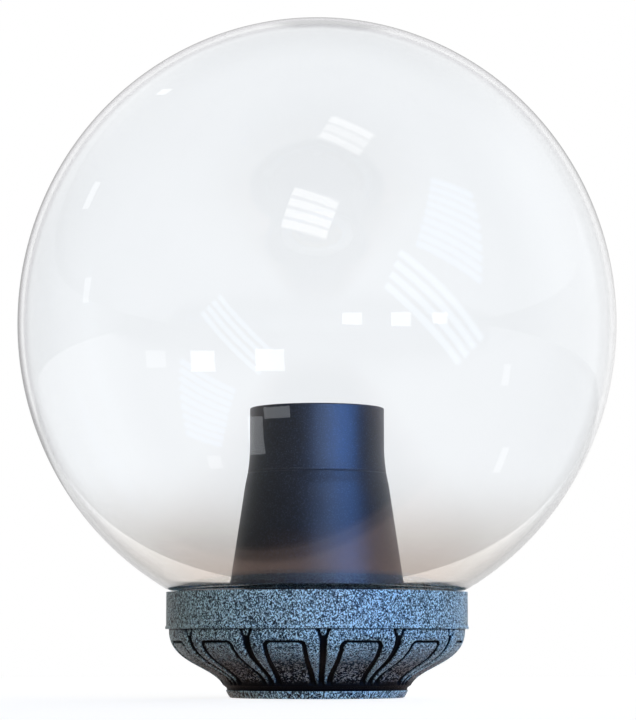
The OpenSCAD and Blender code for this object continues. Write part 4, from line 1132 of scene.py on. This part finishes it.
def shroud_shell():
    """The shroud with its foot flange, its flared skirt, a fine moulding line and the web inside."""
    flange_top = TRAY_TOP + 3 * MM
    skirt_r = SHROUD_SCREW_R - HEAD_R - 0.7 * MM
    mouth_r = 28 * MM
    wall = 2.5 * MM
    flare_out, flare_h, collar_h = 1.9 * MM, 16 * MM, 16 * MM
    flare_z = MOUTH_Z - collar_h - flare_h
    web_z, web_top = HOLDER_Z - 3 * MM, HOLDER_Z
    line_z = 93 * MM
    line_depth = 0.12 * MM

    def side_r(z):
        if z >= flare_z + flare_h:
            return mouth_r
        if z >= flare_z:
            return mouth_r + flare_out * (1 - (z - flare_z) / flare_h) ** 2
        return skirt_r + (mouth_r + flare_out - skirt_r) * (z - flange_top) / (flare_z - flange_top)

    heights = list(np.linspace(flange_top + 0.8 * MM, MOUTH_Z - 1.5 * MM, 90))
    heights = sorted(heights + [line_z - 0.4 * MM, line_z - 0.2 * MM, line_z + 0.2 * MM, line_z + 0.4 * MM])
    outside = [(side_r(z) - (line_depth if abs(z - line_z) < 0.3 * MM else 0), z) for z in heights]
    inner_high = [(side_r(z) - wall, z) for z in np.linspace(MOUTH_Z - 1.5 * MM, web_top + 0.5 * MM, 40)]
    inner_low = [(side_r(z) - wall, z) for z in np.linspace(web_z - 0.5 * MM, flange_top, 12)]
    nipple_hole = 5.2 * MM
    line = eased([(skirt_r - wall, TRAY_TOP), (FLANGE_R, TRAY_TOP, 0.3 * MM),
                  (FLANGE_R, flange_top, 0.6 * MM), (skirt_r + 0.4 * MM, flange_top)], 4)
    line += outside
    line += eased([(mouth_r, MOUTH_Z - 2 * MM), (mouth_r, MOUTH_Z, 0.6 * MM),
                   (mouth_r - wall, MOUTH_Z, 0.6 * MM), (mouth_r - wall, MOUTH_Z - 2 * MM)])[1:-1]
    line += inner_high
    line += eased([(side_r(web_top) - wall, web_top), (nipple_hole, web_top, 0.3 * MM),
                   (nipple_hole, web_z, 0.3 * MM), (side_r(web_z) - wall, web_z)], 3)
    line += inner_low
    return hand_over(lathe("shroud_shell", line, 192), "base", "dark_shroud", "lamp_shroud")


# Lampholder

def holder_pieces():
    """The porcelain dome and the sleeve that screws over it."""
    joint_wall = 2.4 * MM
    spigot_r, joint_r = HOLDER_R - joint_wall - 0.1 * MM, HOLDER_R - joint_wall
    bore_r, insert_bore = 5.1 * MM, 14.8 * MM
    ledge_r = insert_bore - 2.6 * MM
    sleeve_z = low("holder_sleeve")
    dome_top = high("holder_dome")
    floor_top = HOLDER_Z + 5 * MM
    dome = eased([(bore_r, HOLDER_Z, 0.4 * MM), (HOLDER_R - 4 * MM, HOLDER_Z, 0.4 * MM),
                  (HOLDER_R - 1.2 * MM, HOLDER_Z + 1.2 * MM, 0.8 * MM),
                  (HOLDER_R, HOLDER_Z + 4 * MM, 1.2 * MM), (HOLDER_R, sleeve_z, 0.15 * MM),
                  (spigot_r, sleeve_z), (spigot_r, dome_top, 0.5 * MM),
                  (insert_bore, dome_top, 0.5 * MM), (insert_bore, INSERT_Z), (ledge_r, INSERT_Z, 0.4 * MM),
                  (ledge_r, floor_top, 0.6 * MM), (bore_r, floor_top, 0.4 * MM)])
    hand_over(lathe("holder_dome_glazed", dome), "base", "porcelain", "holder_dome")
    inner_r, lip_r = 15 * MM, 14 * MM
    lip_z = HOLDER_TOP - 3 * MM
    sleeve = eased([(joint_r, sleeve_z, 0.15 * MM), (HOLDER_R, sleeve_z, 0.3 * MM),
                    (HOLDER_R, HOLDER_TOP, 1.4 * MM), (lip_r, HOLDER_TOP, 1.0 * MM), (lip_r, lip_z, 0.4 * MM),
                    (inner_r, lip_z), (inner_r, dome_top + 1.4 * MM), (joint_r, dome_top + MM)], 7)
    hand_over(lathe("holder_sleeve_glazed", sleeve), "base", "porcelain", "holder_sleeve")


def lamp_thread():
    """The rolled brass shell with its round lamp thread, its flange and its two legs."""
    crest_r, root_r = 12.4 * MM, 13.3 * MM
    pitch, sheet = 3.6 * MM, 0.5 * MM
    thread_low, thread_high = INSERT_TOP + 4.2 * MM, high("threaded_shell") - 2 * MM
    flange_r = 14.7 * MM
    mean, wave = (crest_r + root_r) / 2, (root_r - crest_r) / 2
    top = high("threaded_shell")
    heights = list(np.arange(thread_low, thread_high, 0.3 * MM))
    low_z = INSERT_TOP + 4 * MM
    line = [(mean, z) for z in [low_z] + heights[1:]] + [(mean, thread_high)]
    flange = eased([(crest_r, top - 1.2 * MM), (crest_r, top, 0.8 * MM), (flange_r, top, 0.15 * MM),
                    (flange_r, top - sheet, 0.15 * MM), (crest_r + sheet, top - sheet, 0.4 * MM)])[1:]
    inside = [(crest_r, thread_high + 0.8 * MM)] + flange
    outside = [(r + sheet, z) for r, z in line[::-1]]

    def roll(angles, z, r):
        if z > thread_high + 0.1 * MM or min(abs(r - mean), abs(r - mean - sheet)) > 0.01 * MM:
            return 0
        fade = smooth((thread_high - z) / (1.2 * MM)) * smooth((z - low_z) / (1.2 * MM))
        turn = 2 * math.pi * (z - low_z) / pitch - angles
        return wave * (-np.cos(turn) * fade - (1 - fade))

    shell = lathe("lamp_thread_shell", line + inside + outside, 96, roll)
    leg = (sheet, 5 * MM, 4.5 * MM)
    legs = [placed(block("leg", leg, (0, 0, 0), 0.1 * MM), around_z(turn, crest_r + sheet / 2,
            INSERT_TOP + leg[2] / 2)) for turn in (90, 270)]
    piece = joined("lamp_thread", [shell] + legs)
    return hand_over(piece, "base", "brass", "threaded_shell")


def contacts():
    """The centre contact, a button on a stem with a foot, and the spring that presses it up."""
    button_r, stem_r = 3.5 * MM, 1.5 * MM
    top, foot = high("centre_contact"), low("centre_contact")
    button_z = top - 1.2 * MM
    foot_r, foot_top = stem_r + MM, foot + 0.8 * MM
    line = eased([(0, foot), (foot_r, foot, 0.15 * MM), (foot_r, foot_top, 0.15 * MM),
                  (stem_r, foot_top), (stem_r, button_z), (button_r, button_z, 0.15 * MM),
                  (button_r - 0.6 * MM, top - 0.2 * MM, 0.4 * MM), (1.2 * MM, top, 0.6 * MM), (0, top)])
    hand_over(lathe("centre_button", line, 64), "centre_contact", "brass", "centre_contact")
    wire = 0.5 * MM
    z0, z1 = low("contact_spring"), high("contact_spring")
    coil = grown("contact_coil", COIL_TREE, {
        "Turns": 4.0, "Radius": high("contact_spring", 0) - wire / 2, "Height": z1 - z0 - wire, "Wire": wire,
        "Material": FINISHES["zinc_steel"]})
    placed(coil, Matrix.Translation((0, 0, z0 + wire / 2)))
    hand_over(coil, "base", "zinc_steel", "contact_spring")
    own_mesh(coil)


# Stage, lights and camera

PHOTO_W, PHOTO_H = 636, 720
AXIS_COLUMN, HORIZON_ROW = 317.0, 647.0
FOCAL_PX = 2680.0
EYE = Vector((0, -1.117, 0.0208))
TILT = math.atan((HORIZON_ROW - PHOTO_H / 2) / FOCAL_PX)


def photo_camera():
    data = bpy.data.cameras.new("photo_camera")
    data.sensor_width = 36
    data.lens = data.sensor_width * FOCAL_PX / PHOTO_H
    camera = bpy.data.objects.new("photo_camera", data)
    camera.location = EYE
    camera.rotation_euler = (math.pi / 2 + TILT, 0, math.atan((AXIS_COLUMN - PHOTO_W / 2) / FOCAL_PX))
    bpy.context.scene.collection.objects.link(camera)
    bpy.context.scene.camera = camera


def sight(column, row):
    """The direction in which the camera sees a pixel of the photograph."""
    right = Vector((1, 0, 0))
    ahead = Vector((0, math.cos(TILT), math.sin(TILT)))
    up = right.cross(ahead)
    return (ahead * FOCAL_PX + right * (column - AXIS_COLUMN) + up * (PHOTO_H / 2 - row)).normalized()


def mirror_way(column, row):
    """The point on the globe's front that a pixel of the photograph sees, and where it mirrors to."""
    squash = GLOBE_R / GLOBE_HALF_H
    centre = Vector((0, 0, GLOBE_TOP - GLOBE_HALF_H))
    way = sight(column, row)
    start = EYE - centre
    start_s = Vector((start.x, start.y, start.z * squash))
    way_s = Vector((way.x, way.y, way.z * squash))
    a, b, c = way_s.dot(way_s), start_s.dot(way_s), start_s.dot(start_s) - GLOBE_R ** 2
    point = start + way * ((-b - math.sqrt(b * b - a * c)) / a)
    normal = Vector((point.x, point.y, point.z * squash ** 2)).normalized()
    return centre + point, way - 2 * way.dot(normal) * normal


def lamp_at(name, matrix, size, radiance, colour=(1, 1, 1), mirrored=False):
    """A rectangular lamp of a given radiance, which either lights surfaces or is mirrored in them."""
    data = bpy.data.lights.new(name, "AREA")
    data.shape = "RECTANGLE"
    data.size, data.size_y = size
    data.energy = radiance * math.pi * size[0] * size[1]
    data.color = colour
    lamp = bpy.data.objects.new(name, data)
    lamp.matrix_world = matrix
    lamp.visible_diffuse = not mirrored
    lamp.visible_glossy = mirrored
    lamp.visible_transmission = mirrored
    bpy.context.scene.collection.objects.link(lamp)
    return lamp


def soft_lamp(name, turn, rise, level, colour=(1, 1, 1), mirrored=False):
    """A large soft lamp that faces the object, in degrees from the camera's side and above the floor."""
    away, size = 1.8, (1.2, 0.9)
    faced = Vector((0, 0, 0.05))
    a, e = math.radians(turn), math.radians(rise)
    place = Vector((math.sin(a) * math.cos(e), -math.cos(a) * math.cos(e), math.sin(e))) * away + faced
    facing = (faced - place).to_track_quat("-Z", "Y").to_matrix().to_4x4()
    radiance = level * math.pi * away ** 2 / (size[0] * size[1])
    lamp = lamp_at(name, Matrix.Translation(place) @ facing, size, radiance, colour, mirrored)
    lamp.data.cycles.use_multiple_importance_sampling = False
    return lamp


def glint(name, corners, radiance, colour=(1, 1, 1), strips=1, filled=1.0, distance=1.3, inside=False):
    """Lamp strips hung where the globe mirrors them to pixels: left and right of the top, then of the bottom.

    inside says whether the inner face of the far wall mirrors them as well, upside down.
    """
    far = []
    for column, row in corners:
        point, way = mirror_way(column, row)
        far.append(point + way.normalized() * distance)
    for k in range(strips):
        edges = [(k + 0.5 - filled / 2) / strips, (k + 0.5 + filled / 2) / strips]
        a, c = (far[0].lerp(far[2], edge) for edge in edges)
        b, d = (far[1].lerp(far[3], edge) for edge in edges)
        centre = (a + b + c + d) / 4
        along, down = (b - a + d - c) / 2, (c - a + d - b) / 2
        x = along.normalized()
        z = x.cross(down).normalized()
        if z.dot(centre) < 0:
            z = -z
        y = z.cross(x)
        turn = Matrix((x, y, z)).transposed().to_4x4()
        size = (along.length, abs(down.dot(y)))
        lamp = lamp_at(f"{name}_{k}", Matrix.Translation(centre) @ turn, size, radiance, colour, True)
        lamp.visible_transmission = inside


def seen_by_camera(wiring):
    """The outputs of Light Path, and 1 for what the camera sees, also through the clear globe."""
    path = wiring.add("ShaderNodeLightPath").outputs
    bounced = wiring.smaller(wiring.plus(path["Diffuse Depth"], path["Glossy Depth"]), 1)
    through = wiring.times(path["Is Transmission Ray"], wiring.minus(1, bounced))
    return path, wiring.larger(path["Is Camera Ray"], through)


def world_room(wiring, sky):
    """The room that mirrored rays see: a white backdrop behind the object, a dimmer room in front."""
    behind, far_behind = (-0.25, 0.35), (0.9, 0.965)
    overhead, high_in_front = (0.55, 0.85), (0.8, 1.0)
    cloudy, cloud_level, room_level = (0.35, 0.65), (-0.05, 0.05), (0.42, 0.1)
    strip_x, strip_side, strip_foot, strip_top = 0.02, (0.1, 0.05), (0.46, 0.5), (0.74, 0.66)
    rim_side, left, wall_level = (-0.05, 0.12), (-0.9, -0.35), (0.5, 1.0)
    way = axes(wiring, sky)
    cloud = wiring.add("ShaderNodeTexNoise", {"Vector": sky, "Scale": 2.2, "Detail": 2.0}).outputs[0]
    backdrop = between(wiring, way["Y"], *behind)
    ceiling = between(wiring, way["Z"], *overhead)
    upper = wiring.minus(wiring.times(way["Z"], 0.87), wiring.times(way["Y"], 0.5))
    room = wiring.plus(between(wiring, cloud, *cloudy, *cloud_level),
                       between(wiring, upper, *high_in_front, *room_level))
    slope = wiring.minus(way["Z"], wiring.times(way["X"], 0.6))
    rim = wiring.times(between(wiring, way["Y"], *far_behind), between(wiring, slope, *rim_side))
    aside = wiring.math("ABSOLUTE", wiring.minus(way["X"], strip_x))
    strip = wiring.times(between(wiring, aside, *strip_side), wiring.times(
        between(wiring, way["Z"], *strip_foot), between(wiring, way["Z"], *strip_top)))
    ceiling = wiring.larger(ceiling, wiring.times(strip, 0.9))
    wall = wiring.minus(1, wiring.times(ceiling, 0.3))
    wall = wiring.times(wall, wiring.minus(1, wiring.times(rim, 0.45)))
    wall = wiring.times(wall, between(wiring, way["X"], *left, *wall_level))
    return between_two(wiring, backdrop, room, wall)


def white_backdrop():
    """A world that the camera sees as white, also through the globe, and that lights the object softly."""
    world = bpy.data.worlds.new("studio")
    world.use_nodes = True
    world.node_tree.nodes.clear()
    wiring = Tree(world.node_tree)
    path, seen = seen_by_camera(wiring)
    scattered = wiring.smaller(path["Diffuse Depth"], 1)
    sky = wiring.add("ShaderNodeTexCoord").outputs["Generated"]
    ambient = between(wiring, axes(wiring, sky)["X"], -0.2, 0.9, 0.02, 0.2)
    mirrored = wiring.times(wiring.minus(1, scattered), world_room(wiring, sky))
    unseen = wiring.plus(mirrored, wiring.times(scattered, ambient))
    strength = wiring.plus(seen, wiring.times(wiring.minus(1, seen), unseen))
    white = wiring.add("ShaderNodeBackground", {"Color": (1, 1, 1, 1), "Strength": strength})
    output = wiring.add("ShaderNodeOutputWorld")
    wiring.feed(output.inputs["Surface"], white.outputs[0])
    bpy.context.scene.world = world


def pale_floor():
    """A pale floor that the camera sees as white, with the object's soft shadow kept on it."""
    size, thick = 6.0, 0.02
    edge_x, edge_y = 0.384, 0.923
    first_step, second_step = (-0.078, -0.075), (-0.068, -0.062)
    beside, close, before, faded = (0.055, 0.14), (-0.6, -0.28), (0.04, -0.03), (0.25, 0.8)
    pale, dim, shadowed = (0.42, 0.41, 0.4, 1), (0.05, 0.05, 0.05, 1), (0.25, 0.25, 0.25, 1)
    floor = block("pale_floor", (size, size, thick), (0, 0, -thick / 2))
    material, wiring, output, where = new_material("pale_floor")
    path, seen = seen_by_camera(wiring)
    glossy = wiring.times(path["Is Glossy Ray"], wiring.math("LESS_THAN", path["Diffuse Depth"], 0.5))
    place = axes(wiring, where)
    along = wiring.plus(wiring.times(place["X"], edge_x), wiring.times(place["Y"], edge_y))
    bright_edge = wiring.plus(between(wiring, along, *first_step, 0.0, 0.3),
                              between(wiring, along, *second_step, 0.0, 0.4))
    aside = between(wiring, wiring.math("ABSOLUTE", place["X"]), *beside)
    near = between(wiring, place["Y"], *close)
    in_front = between(wiring, place["Y"], *before)
    front = between_two(wiring, near, 0.42, wiring.times(aside, 0.8))
    strength = wiring.larger(bright_edge, between_two(wiring, in_front, 0.8, front))
    mirrored = wiring.times(glossy, strength)
    out = wiring.add("ShaderNodeVectorMath", {0: where}, operation="LENGTH").outputs["Value"]
    fade = wiring.times(seen, between(wiring, out, *faded))
    matt = mixed(wiring, seen, mixed(wiring, glossy, pale, dim), shadowed)
    matt = wiring.add("ShaderNodeBsdfDiffuse", {"Color": mixed(wiring, fade, matt, (0, 0, 0, 1))})
    brown = wiring.times(wiring.times(glossy, in_front), wiring.minus(near, aside))
    white = between_two(wiring, fade, wiring.times(seen, 0.88), 1)
    glow = wiring.add("ShaderNodeEmission", {
        "Color": mixed(wiring, brown, (1, 1, 1, 1), (1.0, 0.72, 0.62, 1)),
        "Strength": wiring.plus(white, mirrored)})
    both = wiring.add("ShaderNodeAddShader")
    wiring.feed(both.inputs[0], matt.outputs[0])
    wiring.feed(both.inputs[1], glow.outputs[0])
    wiring.feed(output.inputs["Surface"], both.outputs[0])
    floor.data.materials.append(material)


# Panes that the globe mirrors, in pixels of the photograph: left and right of the top, then of the bottom
FRONT_PANE = [(295, 186), (339, 201), (280, 228), (326, 240)]
HIGH_PANE = [(332, 115), (374, 133), (319, 138), (359, 158)]
BLIND_PANE = [(432, 176), (472, 191), (416, 246), (482, 286)]
GAP_PANE = [(402, 246), (486, 336), (384, 290), (456, 367)]
WALL_PANE = [(249, 417), (264, 416), (249, 455), (264, 457)]
TOP_PANE = [(264, 408), (290, 405), (264, 421), (290, 420)]

# Small windows: column, row, width and height in pixels, then how far off each hangs in metres.
# They are dimmer below LOW_ROW and left of LEFT_COLUMN, and lean by a pixel or two.
SMALL_PANES = [(353, 319, 20, 12, 1.3), (402, 319, 20, 13, 1.3), (441, 318, 15, 10, 1.3),
               (157, 359, 20, 16, 0.25), (204, 361, 24, 20, 0.25), (271, 360, 29, 21, 0.25),
               (216, 462, 14, 12, 0.08), (93, 195, 6, 26, 1.3), (88, 290, 6, 24, 1.3),
               (165, 92, 10, 5, 1.3), (507, 375, 7, 20, 0.2), (502, 460, 7, 24, 0.08)]
LOW_ROW, LEFT_COLUMN = 370, 180
PANE_RISE, PANE_LEAN = 1, 2


def soft_light():
    """Soft light from the front, the right and behind, and two lamps for the sheen on all but the globe."""
    day, cool = (0.04, 0.34, 1.0), (0.9, 0.95, 1.0)
    soft_lamp("front_soft", 10, 12, 0.4)
    soft_lamp("day_soft", 46, 14, 0.6, day)
    soft_lamp("right_soft", 122, 20, 0.3, cool)
    soft_lamp("back_soft", 165, 25, 0.6)
    lit = bpy.data.collections.new("satin_pieces")
    for obj in bpy.context.scene.objects:
        if obj.type == "MESH" and obj.name != "globe_shell":
            lit.objects.link(obj)
    for name, turn, rise, level, colour in (("day_sheen", 46, 6, 1.8, (0.1, 0.32, 1.0)),
                                            ("sky_sheen", 14, 5, 1.15, (0.34, 0.52, 1.0))):
        lamp = soft_lamp(name, turn, rise, level, colour, True)
        lamp.light_linking.receiver_collection = lit


def mirrored_lamps():
    """What the globe mirrors: louvred lamps, a blind and small windows."""
    blue, pale, warm, cool = (0.45, 0.65, 1.0), (0.7, 0.86, 1.0), (1.0, 0.97, 0.93), (0.9, 0.95, 1.0)
    glint("front_louvre", FRONT_PANE, 2.2, warm, 4, 0.7)
    glint("front_glow", FRONT_PANE, 1.2, warm)
    glint("high_louvre", HIGH_PANE, 1.6, warm, 3, 0.66)
    glint("high_glow", HIGH_PANE, 0.9, warm)
    glint("blind_window", BLIND_PANE, 0.9, blue, 9, 0.75, inside=True)
    glint("blind_gap", GAP_PANE, 1.1, pale, 4, 0.6, 0.34, True)
    for k, (column, row, width, height, distance) in enumerate(SMALL_PANES):
        x0, x1, y0, y1 = column - width / 2, column + width / 2, row - height / 2, row + height / 2
        bright = 1.1 if row > LOW_ROW or column < LEFT_COLUMN else 3.0
        pane = [(x0, y0), (x1, y0 - PANE_RISE), (x0 - PANE_LEAN, y1), (x1 - PANE_LEAN, y1 + PANE_RISE)]
        glint(f"far_window_{k}", pane, bright, distance=distance)
    glint("wall_window", WALL_PANE, 2.6, cool, distance=0.12)
    glint("top_window", TOP_PANE, 2.6, cool, distance=0.17)


photo_camera()
white_backdrop()
pale_floor()

globe_shell()
neck_seal()
collar_band()
fluted_bowl()
ring_screws()
shroud_screws()
foot_seal()
cord_grommet()
tray_disc()
shroud_shell()
holder_pieces()
lamp_thread()
contacts()

shown = {"holder_nipple": "zinc_steel", "nipple_washer": "zinc_steel", "nipple_nut": "brass",
         "holder_insert": "steatite", "side_contact": "brass", "holder_terminals": "brass",
         "terminal_block": "white_plastic", "terminal_tubes": "brass", "terminal_screws": "zinc_steel",
         "block_screws": "zinc_steel", "cord_clamp": "black_tray", "clamp_screws": "zinc_steel",
         "earth_tag": "brass", "earth_screw": "zinc_steel", "wire_live": "brown_wire",
         "wire_neutral": "blue_wire", "wire_earth": "earth_wire"}
for node, finish in shown.items():
    obj = frame["nodes"][node]
    if obj.material_slots:
        for slot in obj.material_slots:
            slot.material = FINISHES[finish]
    else:
        obj.data.materials.append(FINISHES[finish])

soft_light()
mirrored_lamps()
bpy.context.scene.view_settings.view_transform = "Standard"
